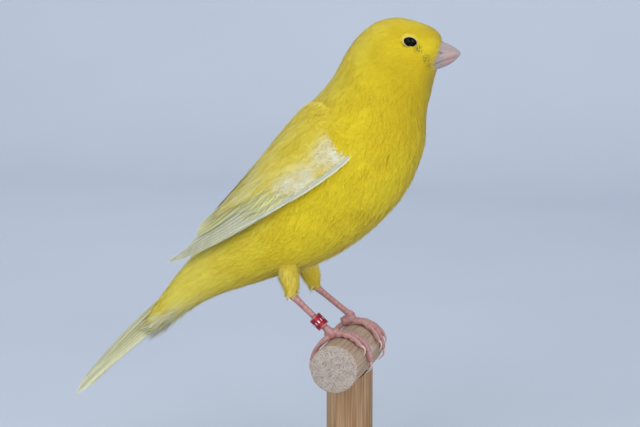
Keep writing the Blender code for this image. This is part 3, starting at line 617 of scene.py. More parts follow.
def plumage_paint(start):
    """Clear yellow feathers: each a little different, deeper at the root as painted shade where they lie
    under each other, lighter at the tip as painted light, golden on the brow, cheek and throat, dusky in the
    gaps by eye and gape, and white where marked pale."""
    tone = start.mark("tone")
    along = start.mark("along")
    pale = start.mark("pale")
    cloud = start.noise(7.0).fade(0.3, 0.7)
    fine = start.noise(0.5).fade(0.3, 0.7)
    high = start.axis("Z")
    ahead = start.axis("X")
    deep_yellow_and_root_shade = (0.62, 0.43, 0.008, 1.0)
    clear = (0.76, 0.60, 0.016, 1.0)
    light = (0.80, 0.70, 0.05, 1.0)
    lemon = (0.80, 0.77, 0.22, 1.0)
    white = (0.73, 0.74, 0.64, 1.0)
    # Deep yellow toward the roots is painted shade where the feathers lie under each other; cloud and tone
    # vary the yellow itself.
    colour = (tone * 0.15 + cloud * 0.4 + along * 0.45).fade(0.0, 0.9).blend(deep_yellow_and_root_shade, clear)
    cheek = ahead.fade(4.0, 18.0) * (1.0 - high.fade(116.0, 121.0)) * high.fade(84.0, 104.0)
    brow = ahead.fade(10.0, 16.0) * high.fade(122.0, 123.6) * (1.0 - high.fade(124.5, 126.5))
    colour = (cheek * (cloud * 0.35 + 0.55) + brow * 0.6).blend(colour, (0.56, 0.38, 0.004, 1.0))
    back = ((high * 0.55 - ahead) * 0.1).fade(5.2, 7.8)
    colour = (back * (0.25 + cloud * 0.3)).blend(colour, lemon)
    # Lighter toward the tips: painted light on the feathers' exposed ends.
    colour = (along * (0.15 + fine * 0.2)).blend(colour, light)
    colour = (pale * (tone * 0.2 + cloud * 0.7 + 0.5)).fade(0.0, 1.0).blend(colour, white)
    dusk = 0.0
    for centre, reach in DUSKY_SPOTS:
        apart = start.node("ShaderNodeVectorMath", {"operation": "ABSOLUTE"}, {0: start.place()})
        spot = tuple(value * MM for value in centre)
        ends = {0: apart, 1: spot}
        apart = start.node("ShaderNodeVectorMath", {"operation": "DISTANCE"}, ends, "Value")
        dusk = 1.0 - (apart * (1.0 / (reach * MM))).fade(0.3, 1.0) + dusk
    specks = start.noise(0.32, 1.0).fade(0.46, 0.58)
    colour = (dusk * specks * 0.9).blend(colour, (0.16, 0.12, 0.02, 1.0))
    constants = {"Sheen Weight": 0.2, "Sheen Roughness": 0.5, "Specular IOR Level": 0.15}
    return colour, fine * 0.1 + 0.75, fine, 0.008, constants


plumage = new_finish("plumage", plumage_paint)


def keep_patches(mesh, patches):
    """Flat map of the coat: each corner's own place on the unwrapped skin."""
    corners = np.empty(len(mesh.loops), dtype=np.int32)
    mesh.loops.foreach_get("vertex_index", corners)
    layer = mesh.uv_layers.new(name="OFBake")
    layer.data.foreach_set("uv", patches[corners].astype(np.float32).ravel())


def surface_piece(name, spot, places, angles, unwrap, pale):
    """Open skin over a grid of places and angles, with the coat's marks and map."""
    grid_place, grid_angle = np.meshgrid(places, angles, indexing="ij")
    points = spot(grid_place, grid_angle)
    hidden = eye_bare(points, SKIN_MARGIN)
    rows, sides = grid_place.shape
    faces = []
    for row in range(rows - 1):
        for side in range(sides - 1):
            low = row * sides + side
            if not hidden[row, side]:
                faces.append((low, low + 1, low + sides + 1, low + sides))
    made = make_piece(name, points.reshape(-1, 3), faces, plumage, closed=False)
    place = grid_place.ravel()
    angle = grid_angle.ravel()
    keep_patches(made.data, unwrap(place, angle))
    keep_mark(made.data, "tone", np.full(len(place), 0.3))
    # An along of 0 gives the skin the feathers' root colour, deeper as painted shade for the gaps between
    # them.
    keep_mark(made.data, "along", np.zeros(len(place)))
    keep_mark(made.data, "pale", pale(place, angle))
    return made


def laid_flat(across, upward):
    """Places on a skin's map from shares across and up it, with a margin all round."""
    return np.stack([0.02 + 0.96 * across, 0.02 + 0.96 * upward], -1)


def skin_unwrap(place, angle):
    """Body skin laid flat: round the body across, along it upward."""
    return laid_flat(angle / TURN, place / BODY_END)


def body_unwrap(place, angle):
    """Places of feathers on the body's map, also of those that lie past its seam."""
    return laid_flat(np.mod(angle / TURN, 1.0), place / BODY_END)


def body_pale(place, angle):
    """White share of the body's feathers: the undertail and the end of the flanks."""
    under = np.clip(-np.cos(angle) * 1.6, 0.0, 1.0)
    return under * np.clip((place - 16.0) / 2.5, 0.0, 1.0) * 0.45


def body_skin_spot(place, angle):
    """Skin under the plumage, filled out between the wings where they leave the back open."""
    turn = np.mod(angle + math.pi, TURN) - math.pi
    filled = trace(BODY, place)[..., 6] * np.exp(-(turn / MANTLE_REACH) ** 2)
    return body_spot(place, angle, filled - coat_depth(place))


skin = surface_piece(
    "body_skin", body_skin_spot, np.linspace(0.0, BODY_END, 191),
    np.linspace(0.0, TURN, 97), skin_unwrap, body_pale,
)

# Thighs: short muffs of feathered skin from the belly down to the heel. They end bluntly, cut
# away toward the front, and below them the leg is bare.
THIGH_TOPS = {RIGHT: (-16.4, 65.0), LEFT: (-15.0, 64.5)}
THIGH_SHAPE = ((3.0,), (3.0,), (3.0,), (3.0,), (3.0,), (2.85,), (2.3,))
THIGH_END = len(THIGH_SHAPE) - 1.0
THIGH_SLANT = 0.7
SLANT_START = 4.2
THIGH_COAT = 0.55
THIGH_SPREAD = 0.6


def thigh_spot(side, swell):
    """Function for points on one thigh: places count down to the heel, angles go round it."""
    top = np.array([THIGH_TOPS[side][0], side * LEG_OFFSET * THIGH_SPREAD, THIGH_TOPS[side][1]])
    heel = np.array([HEELS[side][0] - 0.7, side * LEG_OFFSET, HEELS[side][1] + 0.5])
    run = unit(heel - top)
    ahead = unit(np.cross(np.array([0.0, 1.0, 0.0]), run))
    beside = np.cross(ahead, run)

    def spot(place, angle):
        radius = trace(THIGH_SHAPE, place)[..., 0] + swell
        slant = np.clip((place - SLANT_START) / (THIGH_END - SLANT_START), 0.0, 1.0)
        radius = radius * (1.0 - THIGH_SLANT * slant * np.clip(np.cos(angle), 0.0, 1.0))
        centre = top + (heel - top) * (place / THIGH_END * 1.02 - 0.05)[..., None]
        rim = ahead * np.cos(angle)[..., None] + beside * np.sin(angle)[..., None]
        return centre + rim * radius[..., None]
    return spot


def thigh_unwrap(place, angle):
    """Thigh skin laid flat."""
    return laid_flat(angle / TURN, place / THIGH_END)


def no_pale(place, angle):
    """No white in these feathers."""
    return place * 0.0


for side in (RIGHT, LEFT):
    muff = surface_piece(
        "thigh_" + SIDE_NAMES[side] + "_skin", thigh_spot(side, -THIGH_COAT),
        np.linspace(0.0, THIGH_END, 25), np.linspace(0.0, TURN, 33), thigh_unwrap, no_pale,
    )
    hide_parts("thigh_" + SIDE_NAMES[side])

# Body feathers: short soft vanes with loose barbs at their tips, lying back over each other
# from the bill to the tail, tiny on the face and longest on the flanks and belly.
SEED = 7
STEPS = 6
COAT_LIMIT = 190000
SPACINGS = ((0.0, 0.30), (1.5, 0.38), (4.0, 0.5), (6.5, 0.66), (9.0, 0.85), (13.0, 1.0), (19.0, 1.0))
LENGTHS = ((0.0, 1.3), (1.5, 2.1), (4.0, 3.2), (6.5, 4.4), (9.0, 6.0), (13.0, 7.4), (17.0, 7.4), (19.0, 8.2))
SOFT_OUTLINE = ((0.0, 0.45), (0.3, 0.9), (0.6, 1.0), (0.85, 0.7), (1.0, 0.12))
BARBED_SHARE = 0.94
VARIANTS = 4
SHORTEST = 0.45
PATCH = 0.003
SOFTNESS = 0.15
PROBE = 0.02
NEIGHBOURS = [(a, b, c) for a in (0, -1, 1) for b in (0, -1, 1) for c in (0, -1, 1)]


def feather_shape(pick, barbs, outline, slant, loose, curl, stem):
    """Barbs of one feather: place along it, share of its half width, lift and triangles."""
    along = []
    across = []
    lift = []
    faces = []
    pitch = BARBED_SHARE / barbs
    for hand in (-1.0, 1.0):
        for index in range(barbs):
            start = 0.04 + pitch * index
            reach = slant * (1.0 - 0.35 * start)
            tip = min(start + reach * pitch * barbs, 1.0) + pick.uniform(-0.4, 1.0) * loose
            width = np.interp(min(tip, 1.0), *zip(*outline)) * (1.0 + pick.uniform(-0.6, 0.6) * loose)
            wide = pitch * 0.45
            rise = pick.uniform(0.0, curl)
            middle = start + (tip - start) * 0.42
            base = len(along)
            along += [start - wide, start + wide, middle - wide, middle + wide, tip]
            across += [0.0, 0.0, hand * width * 0.6, hand * width * 0.62, hand * width]
            lift += [0.0, 0.0, rise * 0.3, rise * 0.3, rise]
            faces += [(base, base + 1, base + 3), (base, base + 3, base + 2), (base + 2, base + 3, base + 4)]
    if stem > 0.0:
        spans = 4
        base = len(along)
        for index in range(spans + 1):
            part = index / spans
            along += [part * BARBED_SHARE, part * BARBED_SHARE]
            across += [-stem * (1.0 - 0.7 * part), stem * (1.0 - 0.7 * part)]
            lift += [stem * 0.8, stem * 0.8]
        for index in range(spans):
            low = base + 2 * index
            faces += [(low, low + 1, low + 3), (low, low + 3, low + 2)]
    along = np.array(along)
    across = np.array(across)
    faces = np.array(faces)
    first, second, third = faces.T
    turn = (across[second] - across[first]) * (along[third] - along[first])
    turn = turn - (across[third] - across[first]) * (along[second] - along[first])
    faces = np.where(turn[:, None] > 0.0, faces[:, ::-1], faces)
    return along, across, np.array(lift), faces


def slopes(spot, place, angle):
    """How a surface runs along its places and round its angles."""
    along = (spot(place + PROBE, angle) - spot(place - PROBE, angle)) / (2.0 * PROBE)
    across = (spot(place, angle + PROBE) - spot(place, angle - PROBE)) / (2.0 * PROBE)
    return along, across


def walk(spot, place, angle, length, turn):
    """Paths over a surface: points and outward normals along each feather."""
    points = []
    normals = []
    for step in range(STEPS + 1):
        along, across = slopes(spot, place, angle)
        points.append(spot(place, angle))
        normals.append(unit(np.cross(along, across)))
        place = place + length / STEPS * np.cos(turn) / np.maximum(np.linalg.norm(along, axis=-1), 0.3)
        angle = angle + length / STEPS * np.sin(turn) / np.maximum(np.linalg.norm(across, axis=-1), 0.3)
    return np.stack(points, 1), np.stack(normals, 1)


def raise_feathers(shape, points, normals, half_width, root_lift, tip_lift, camber):
    """Corners and soft shading normals of feathers of one shape along their paths."""
    along, across, lift, _ = shape
    place = np.clip(along, 0.0, 1.0) * STEPS
    index = np.minimum(place.astype(int), STEPS - 1)
    part = (place - index)[None, :, None]
    ahead = unit(np.gradient(points, axis=1))
    length = np.linalg.norm(np.diff(points, axis=1), axis=-1).sum(1)[:, None]
    here = points[:, index] * (1.0 - part) + points[:, index + 1] * part
    lead = unit(ahead[:, index] * (1.0 - part) + ahead[:, index + 1] * part)
    upward = unit(normals[:, index] * (1.0 - part) + normals[:, index + 1] * part)
    beside = unit(np.cross(upward, lead))
    here = here + lead * (np.maximum(along - 1.0, 0.0)[None, :] * length)[..., None]
    out = across[None, :] * half_width[:, None]
    rise = root_lift[:, None] + (tip_lift - root_lift)[:, None] * np.maximum(along, 0.0)[None, :] ** 1.5
    rise = rise + lift[None, :] * half_width[:, None] - camber[:, None] * out * out
    corners = here + beside * out[..., None] + upward * rise[..., None]
    slope = (tip_lift - root_lift)[:, None] / length * 1.5
    shading = upward - lead * (slope * SOFTNESS)[..., None] + beside * (camber[:, None] * out)[..., None]
    return corners, unit(shading)


def coat_pieces(name, shape, corners, shading, patches, tone, pale, finish):
    """Joined meshes of feathers, each under the limit, with marks and map."""
    along, across, _, faces = shape
    count = len(along)
    most = max(1, COAT_LIMIT // len(faces))
    made = []
    for first in range(0, len(corners), most):
        group = slice(first, first + most)
        points = corners[group].reshape(-1, 3)
        number = len(points) // count
        offsets = (np.arange(number) * count)[:, None, None]
        triangles = (faces[None] + offsets).reshape(-1, 3)
        label = "{}_{:02d}".format(name, len(made) + 1)
        piece = make_piece(label, points, triangles, finish, closed=False)
        local = np.stack([across * 0.5, along - 0.5], -1) * PATCH
        spread = (patches[group][:, None] + local[None]).reshape(-1, 2)
        keep_patches(piece.data, spread)
        keep_mark(piece.data, "tone", np.repeat(tone[group], count))
        keep_mark(piece.data, "along", np.tile(np.clip(along, 0.0, 1.0), number))
        keep_mark(piece.data, "pale", np.repeat(pale[group], count))
        piece.data.normals_split_custom_set_from_vertices(shading[group].reshape(-1, 3))
        made.append(piece)
    return made


def scatter(spot, places, angles, spacing, pick, tries):
    """Even random places over a surface, no two closer than the spacing there."""
    place = pick.uniform(places[0], places[1], tries)
    angle = pick.uniform(angles[0], angles[1], tries)
    along, across = slopes(spot, place, angle)
    gap = spacing(place)
    share = np.linalg.norm(np.cross(along, across), axis=-1) / gap ** 2
    chosen = pick.uniform(0.0, share.max(), tries) < share
    place = place[chosen]
    angle = angle[chosen]
    gap = gap[chosen]
    points = spot(place, angle)
    cell = float(gap.max())
    cells = {}
    kept = []
    for index, (point, near) in enumerate(zip(points, gap)):
        key = tuple(int(value // cell) for value in point)
        free = True
        for side in NEIGHBOURS:
            for other in cells.get((key[0] + side[0], key[1] + side[1], key[2] + side[2]), ()):
                apart = points[other] - point
                if apart @ apart < near * near:
                    free = False
                    break
            if not free:
                break
        if free:
            cells.setdefault(key, []).append(index)
            kept.append(index)
    return place[kept], angle[kept]



pick = np.random.default_rng(SEED)
soft_shapes = [feather_shape(pick, 15, SOFT_OUTLINE, 0.42, 0.2, 0.06, 0.0) for _ in range(VARIANTS)]


def bill_share(points):
    """Place across the bill's root: 0 at its middle, 1 at its edge, more behind it."""
    above = points[..., 2] - BILL_SILL
    height = np.where(above > 0.0, BILL_RISE, BILL_DROP)
    behind = np.maximum(BILL_ROOT - points[..., 0], 0.0)
    return (points[..., 1] / BILL_REACH) ** 2 + (above / height) ** 2 + behind


BILL_ROOT = 22.3
BILL_SILL = 115.8
BILL_RISE = 5.5
BILL_DROP = 1.8
BILL_REACH = 5.4


def body_feathers():
    """Contour feathers over the whole body, in several shapes."""
    def spacing(place):
        return np.interp(place, *zip(*SPACINGS))

    place, angle = scatter(body_skin_spot, (0.0, BODY_END), (0.0, TURN), spacing, pick, 200000)
    roots = body_skin_spot(place, angle)
    clear = ~eye_bare(roots, FEATHER_MARGIN) & (bill_share(roots) > 1.0)
    place = place[clear]
    angle = angle[clear]
    number = len(place)
    length = np.interp(place, *zip(*LENGTHS)) * pick.uniform(0.75, 1.2, number)
    turn = pick.normal(0.0, 0.07, number)
    points, normals = walk(body_skin_spot, place, angle, length, turn)
    inside = eye_bare(points, FEATHER_MARGIN)
    first = np.where(inside.any(axis=1), inside.argmax(axis=1), STEPS + 1)
    share = np.where(first > STEPS, 1.0, (first - 0.5) / STEPS)
    kept = length * share > SHORTEST
    place = place[kept]
    angle = angle[kept]
    length = (length * share)[kept]
    number = len(place)
    points, normals = walk(body_skin_spot, place, angle, length, turn[kept])
    depth = coat_depth(place)
    half = np.interp(place, *zip(*SPACINGS)) * pick.uniform(1.2, 1.6, number)
    tone = pick.uniform(0.0, 1.0, number)
    kinds = pick.integers(0, VARIANTS, number)
    pieces = []
    for kind in range(VARIANTS):
        chosen = kinds == kind
        corners, shading = raise_feathers(
            soft_shapes[kind], points[chosen], normals[chosen], half[chosen],
            depth[chosen] * 0.45, depth[chosen] * pick.uniform(0.75, 0.95, chosen.sum()), 0.03 / half[chosen],
        )
        pieces += coat_pieces(
            "body_coat_" + "abcd"[kind], soft_shapes[kind], corners, shading,
            body_unwrap(place[chosen], angle[chosen]), tone[chosen],
            body_pale(place[chosen], angle[chosen]), plumage,
        )
    return pieces


for piece in body_feathers():
    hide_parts("head", "neck", "torso")


FOLD_LIMIT = 0.5


def soft_group(name, shape, spot, place, angle, length, turn, half, lifts, unwrap, pale):
    """Soft feathers of one shape over a surface, without any that would fold round its end."""
    points, normals = walk(spot, place, angle, length, turn)
    steady = (normals[:, 0] * normals[:, -1]).sum(-1) > FOLD_LIMIT
    points, normals, place, angle, half, pale = (
        values[steady] for values in (points, normals, place, angle, half, pale)
    )
    lifts = (lifts[0][steady], lifts[1][steady])
    corners, shading = raise_feathers(shape, points, normals, half, lifts[0], lifts[1], 0.03 / half)
    tone = pick.uniform(0.0, 1.0, len(place))
    coat_pieces(name, shape, corners, shading, unwrap(place, angle), tone, pale, plumage)


# Bristles: tiny feathers at the bill's root. They point forward and lie over the edge of the
# horn, so that the bill grows out of the face without a seam.
number = 3600
place = pick.uniform(0.0, 2.0, number)
angle = pick.uniform(0.0, TURN, number)
share = bill_share(body_skin_spot(place, angle))
near = (share > 0.95) & (share < pick.uniform(1.0, 1.4, number))
near &= place > pick.uniform(0.0, 0.6, number)
place = place[near]
angle = angle[near]
number = len(place)
soft_group(
    "bill_bristles", soft_shapes[1], body_skin_spot, place, angle, pick.uniform(0.7, 2.0, number),
    math.pi + pick.normal(0.0, 0.4, number), pick.uniform(0.12, 0.24, number),
    (np.full(number, 0.1), pick.uniform(0.5, 0.95, number)), body_unwrap, np.full(number, 0.1),
)

# Tail coverts: soft feathers over the root of the tail. They lie close above it and hang below
# it as a loose pale tuft, whiter the more they hang: partly their own pale colour, partly painted
# light on their shaded undersides.
number = 1100
place = pick.uniform(17.2, 18.8, number)
low_angle = pick.normal(math.pi, 0.9, number)
angle = np.where(pick.uniform(0.0, 1.0, number) < 0.6, low_angle, pick.uniform(0.0, 6.28, number))
angle = np.clip(angle, 0.05, 6.23)
hang = np.clip(-np.cos(angle) * 1.5, 0.0, 1.0) * np.clip((place - 17.0) / 1.4, 0.2, 1.0)
length = pick.uniform(4.0, 6.0, number) + hang * pick.uniform(1.5, 5.5, number)
soft_group(
    "tail_coverts", soft_shapes[2], body_skin_spot, place, angle, length,
    pick.normal(0.0, 0.12, number), pick.uniform(0.8, 1.2, number),
    (np.full(number, 0.4), 0.7 + hang * pick.uniform(0.0, 3.4, number)), body_unwrap,
    # White share grows with the hang: the undertail's own pale, raised further as painted light on the
    # hanging feathers' shaded undersides.
    0.1 + hang * pick.uniform(0.2, 1.0, number),
)


def thigh_feathers(side):
    """Small feathers down one thigh."""
    spot = thigh_spot(side, -THIGH_COAT)

    def spacing(place):
        return 0.6 + place * 0.0

    place, angle = scatter(spot, (0.0, THIGH_END - 0.3), (0.0, TURN), spacing, pick, 8000)
    number = len(place)
    length = pick.uniform(2.2, 3.6, number)
    points, normals = walk(spot, place, angle, length, pick.normal(0.0, 0.15, number))
    half = pick.uniform(0.8, 1.1, number)
    tips = half * pick.uniform(0.4, 1.3, number)
    corners, shading = raise_feathers(soft_shapes[0], points, normals, half, half * 0.15, tips, 0.1 / half)
    coat_pieces(
        "thigh_" + SIDE_NAMES[side] + "_coat", soft_shapes[0], corners, shading,
        thigh_unwrap(place, angle), pick.uniform(0.0, 1.0, number), place * 0.0 + 0.2, plumage,
    )


for side in (RIGHT, LEFT):
    thigh_feathers(side)

# Eyes: wet black balls set in bare lids. The opening is a little longer than high and tips
# toward the bill, and the lid's edge is a thin pale beaded rim.


LID_SILL = 1.2
LID_PROFILE = (
    (0.97, 0.04), (1.0, 0.18), (1.04, 0.28), (1.09, 0.3),
    (1.15, 0.2), (1.25, 0.14), (1.45, 0.08), (1.65, -0.8),
)


def eye_paint(start):
    """Very dark brown and black in fine streaks, glossy as a wet surface."""
    streak = start.noise(0.3).fade(0.3, 0.7)
    colour = streak.blend((0.003, 0.0025, 0.003, 1.0), (0.006, 0.0045, 0.004, 1.0))
    return colour, streak * 0.02 + 0.08, streak, 0.001, {"Coat Weight": 0.0, "Specular IOR Level": 0.08}


def lid_paint(start):
    """Thin bare skin with a pale rim, tinted by the feathers round it."""
    fine = start.noise(0.2).fade(0.35, 0.65)
    rim = start.mark("plate")
    colour = fine.blend((0.68, 0.54, 0.02, 1.0), (0.60, 0.47, 0.015, 1.0))
    colour = rim.blend(colour, (0.56, 0.50, 0.30, 1.0))
    return colour, fine * 0.1 + 0.5, fine, 0.02, {"Subsurface Weight": 0.15, "Subsurface Scale": 0.0006}


eye_ball = new_finish("eye_ball", eye_paint)
lid_skin = new_finish("lid_skin", lid_paint)


def eye(side):
    """Eyeball and its lids on one side."""
    centre, outward, forward, upward = eye_axes(side)
    latitudes = np.linspace(0.02, math.pi - 0.02, 33)
    profile = [(EYE_RADIUS * math.sin(value), -EYE_RADIUS * math.cos(value)) for value in latitudes]
    name = SIDE_NAMES[side]
    globe = turned(profile, 48, centre, outward, forward)
    ball = make_piece("eye_" + name + "_ball", *loft(globe), eye_ball)
    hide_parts("eye_" + name)
    turns = np.linspace(0.0, TURN, 72, endpoint=False)
    upright = np.sin(turns) * np.abs(np.sin(turns)) ** 0.15 * OPENING_HEIGHT
    opening = np.stack([np.cos(turns) * OPENING_LENGTH, upright], -1)
    rings = []
    for scale, lift in LID_PROFILE:
        reach = opening * scale
        flat = np.linalg.norm(reach, axis=1)
        bead = 0.05 * np.cos(turns * 26.0) * math.exp(-((scale - 1.07) / 0.05) ** 2)
        low = 0.15 * np.maximum(-np.sin(turns), 0.0)
        height = np.sqrt(np.maximum(EYE_RADIUS ** 2 - flat ** 2, LID_SILL ** 2)) + lift + bead + low
        rings.append(centre + forward * reach[:, :1] + upward * reach[:, 1:] + outward * height[:, None])
    points, faces = loft(rings)
    lid = make_piece("lid_" + name, points, faces[:-2], lid_skin, closed=False)
    rim = np.repeat([math.exp(-((scale - 1.06) / 0.06) ** 2) for scale, _ in LID_PROFILE], len(turns))
    keep_mark(lid.data, "plate", rim)


for side in (RIGHT, LEFT):
    eye(side)

# Bill: two horn sheaths over bone, short and conical, pinkish and slightly see-through, with
# a nostril slit at each side of the base and the upper edge closing just over the lower.
RIDGE = [(23.8, 121.7), (25.1, 121.6), (26.7, 121.1), (28.3, 120.3), (29.5, 119.5), (30.2, 118.6)]
CUTTING_EDGE = [(22.9, 115.6), (23.7, 115.9), (25.0, 116.4), (26.6, 117.0), (28.2, 117.5), (29.7, 117.9)]
KEEL = [(22.4, 114.0), (23.6, 114.2), (25.1, 114.7), (26.7, 115.4), (28.1, 116.3), (29.3, 117.4)]
BILL_WIDTHS = [(5.6,), (4.3,), (3.1,), (2.2,), (1.4,), (0.4,)]
NOSTRIL = (25.2, 2.8, 119.0)
FLUSH_PLACE = 27.4
MOUTH_GAP = 0.05


def bill_paint(start):
    """Pale pink horn, greyer on the ridge, flushed near the mouth's edge, darkened in the nostril as painted
    shade.
    """
    streak = start.noise(0.5, 3.0, (4.0, 1.0, 1.0)).fade(0.3, 0.7)
    ridge = start.mark("ridge")
    nostril_dent_and_shade = start.mark("nostril_dent_and_shade")
    flush = start.mark("flush")
    colour = streak.blend((0.37, 0.29, 0.285, 1.0), (0.32, 0.25, 0.245, 1.0))
    colour = (ridge * 0.6).blend(colour, (0.38, 0.34, 0.335, 1.0))
    colour = (flush * 0.5).blend(colour, (0.45, 0.235, 0.21, 1.0))
    colour = (start.mark("root") * 0.7).blend(colour, (0.42, 0.33, 0.12, 1.0))
    # Nostril darkened: painted shade in its pit.
    colour = nostril_dent_and_shade.blend(colour, (0.16, 0.085, 0.075, 1.0))
    constants = {"Subsurface Weight": 0.2, "Subsurface Scale": 0.001, "Specular IOR Level": 0.45}
    return colour, streak * 0.12 + 0.34, streak, 0.015, constants


bill_horn = new_finish("bill_horn", bill_paint)


def bill(name, outer_line, upward):
    """One half of the bill, domed outside and closed flat along the mouth."""
    part = np.linspace(0.0, 5.0, 76)
    edge = trace(CUTTING_EDGE, part)
    outer = trace(outer_line, part)
    width = trace(BILL_WIDTHS, part)[:, 0] * (1.0 if upward else 0.9)
    lift = MOUTH_GAP / 2.0 if upward else -MOUTH_GAP / 2.0
    arc = np.linspace(0.0, math.pi, 33)
    rings = []
    for index in range(len(part)):
        low = np.array([edge[index, 0], 0.0, edge[index, 1] + lift])
        rise = np.array([outer[index, 0], 0.0, outer[index, 1]]) - low
        swell = np.sin(arc) ** 0.9
        ring = low + rise * swell[:, None] + np.outer(np.cos(arc) * width[index], [0.0, 1.0, 0.0])
        rings.append(ring)
    rings = np.array(rings)
    points = rings.reshape(-1, 3)
    ridge = np.tile(np.sin(arc) ** 6, len(part))
    nostril_dent_and_shade = points[:, 0] * 0.0
    if upward:
        # The nostril's dent in the horn, which also masks its painted shade.
        along = (points[:, 0] - NOSTRIL[0]) * 0.93 - (points[:, 2] - NOSTRIL[2]) * 0.36
        high = (points[:, 2] - NOSTRIL[2]) * 0.93 + (points[:, 0] - NOSTRIL[0]) * 0.36
        nostril_dent_and_shade = np.exp(-(along / 0.62) ** 2 - (high / 0.24) ** 2)
        points[:, 1] -= np.sign(points[:, 1]) * nostril_dent_and_shade * 0.35
    reach = points[:, 0] - FLUSH_PLACE
    near = np.tile(np.abs(np.cos(arc)) ** 3, len(part))
    faces = loft(rings)[1]
    made = make_piece(name + "_horn", points, faces, bill_horn)
    keep_mark(made.data, "ridge", ridge)
    keep_mark(made.data, "nostril_dent_and_shade", np.clip(nostril_dent_and_shade * 1.4, 0.0, 1.0))
    keep_mark(made.data, "root", np.repeat(np.clip(1.0 - part / 0.9, 0.0, 1.0), len(arc)))
    keep_mark(made.data, "flush", near * np.exp(-(reach / 1.1) ** 2))
    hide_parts(name)


bill("bill_upper", RIDGE, True)
bill("bill_lower", KEEL, False)

# Wings: the arm under small soft coverts, then greater coverts, tertials, secondaries and
# primaries, each tier lying over the next. They are yellow, with white in the outer vanes.
WING_INNER = [
    (-6.0, -4.5, 108.5),
    (-13.3, -3.0, 102.8),
    (-22.1, -2.0, 92.5),
    (-31.1, -1.0, 81.7),
    (-38.1, -0.9, 73.7),
    (-41.8, -1.2, 70.3),
    (-46.1, -2.8, 64.7),
    (-52.1, -4.2, 61.0),
]
WING_OUTER = [
    (5.6, -14.0, 93.4),
    (0.2, -16.4, 88.0),
    (-9.7, -17.2, 81.1),
    (-21.1, -16.0, 74.2),
    (-32.1, -13.2, 68.4),
    (-40.5, -10.0, 64.3),
    (-46.0, -7.6, 61.8),
    (-51.7, -5.4, 59.8),
]
WING_END = 7.0
TIP_TILT = 50.0
ARM_DEPTH = 1.7
VANE_OUTLINE = ((0.0, 0.5), (0.12, 0.85), (0.35, 1.0), (0.8, 0.95), (0.95, 0.7), (1.0, 0.3))
COVERT_OUTLINE = ((0.0, 0.5), (0.25, 0.9), (0.6, 1.0), (0.88, 0.75), (1.0, 0.15))


def wing_spot(place, angle):
    """Points on the right wing's folded surface, under its outermost feathers."""
    inner = trace(WING_INNER, place)
    outer = trace(WING_OUTER, place)
    middle = np.stack([outer[..., 0], inner[..., 1], outer[..., 2]], -1)
    return middle + (inner - middle) * np.cos(angle)[..., None] + (outer - middle) * np.sin(angle)[..., None]


def wing_arm_spot(place, angle, depth=0.6):
    """Surface at a depth under the wing's coverts."""
    along, across = slopes(wing_spot, place, angle)
    return wing_spot(place, angle) - unit(np.cross(along, across)) * depth


def wing_normals(place, angle):
    """Outward directions that turn toward the tips' own flat plane."""
    along, across = slopes(wing_spot, place, angle)
    normal = unit(np.cross(along, across))
    run = unit(trace(WING_OUTER, np.array(6.9)) - trace(WING_OUTER, np.array(4.5)))
    tilt = math.radians(TIP_TILT)
    flat = np.array([0.0, -math.sin(tilt), math.cos(tilt)])
    flat = unit(flat - run * float(flat @ run))
    blend = np.clip((place - 3.6) / 2.2, 0.0, 1.0)[..., None]
    return unit(normal * (1.0 - blend) + flat * blend)


def wing_unwrap(place, angle):
    """Wing skin laid flat."""
    return laid_flat(angle / math.radians(100.0), place / WING_END)


def wing_pale(place, angle):
    """White share of the wing's coverts: two mottled patches and the leading edge."""
    degrees = np.degrees(angle)
    near = np.exp(-((place - 0.65) / 0.42) ** 2 - ((degrees - 77.0) / 13.0) ** 2)
    rear = np.exp(-((place - 1.9) / 0.75) ** 2 - ((degrees - 77.0) / 11.0) ** 2)
    edge = np.clip((degrees - 85.0) / 4.0, 0.0, 1.0)
    end = np.clip((place - 1.6) / 1.6, 0.0, 1.0) * 0.3
    return np.clip(near * 0.9 + rear * 0.65 + edge * 0.7 + end + 0.08, 0.0, 1.0)


def mirrored(values, side):
    """The right wing's points or directions for either side."""
    return values * np.array([1.0, -side, 1.0])


def straight_paths(starts, ends, lifts, side, roll):
    """Paths of flight feathers over the wing, from root to tip as place and degrees."""
    part = np.linspace(0.0, 1.0, STEPS + 1)[None, :]
    place = starts[:, :1] + (ends[:, :1] - starts[:, :1]) * part
    angle = np.radians(starts[:, 1:] + (ends[:, 1:] - starts[:, 1:]) * part)
    normals = wing_normals(place, angle)
    height = lifts[:, :1] + (lifts[:, 1:] - lifts[:, :1]) * part
    points = wing_spot(place, angle) + normals * height[..., None]
    ahead = unit(np.gradient(points, axis=1))
    outer = unit(np.cross(ahead, normals))
    outer = np.where(outer[..., 1:2] > 0.0, -outer, outer)
    turn = math.radians(roll)
    normals = unit(normals * math.cos(turn) - outer * math.sin(turn))
    return mirrored(points, side), mirrored(normals, side)


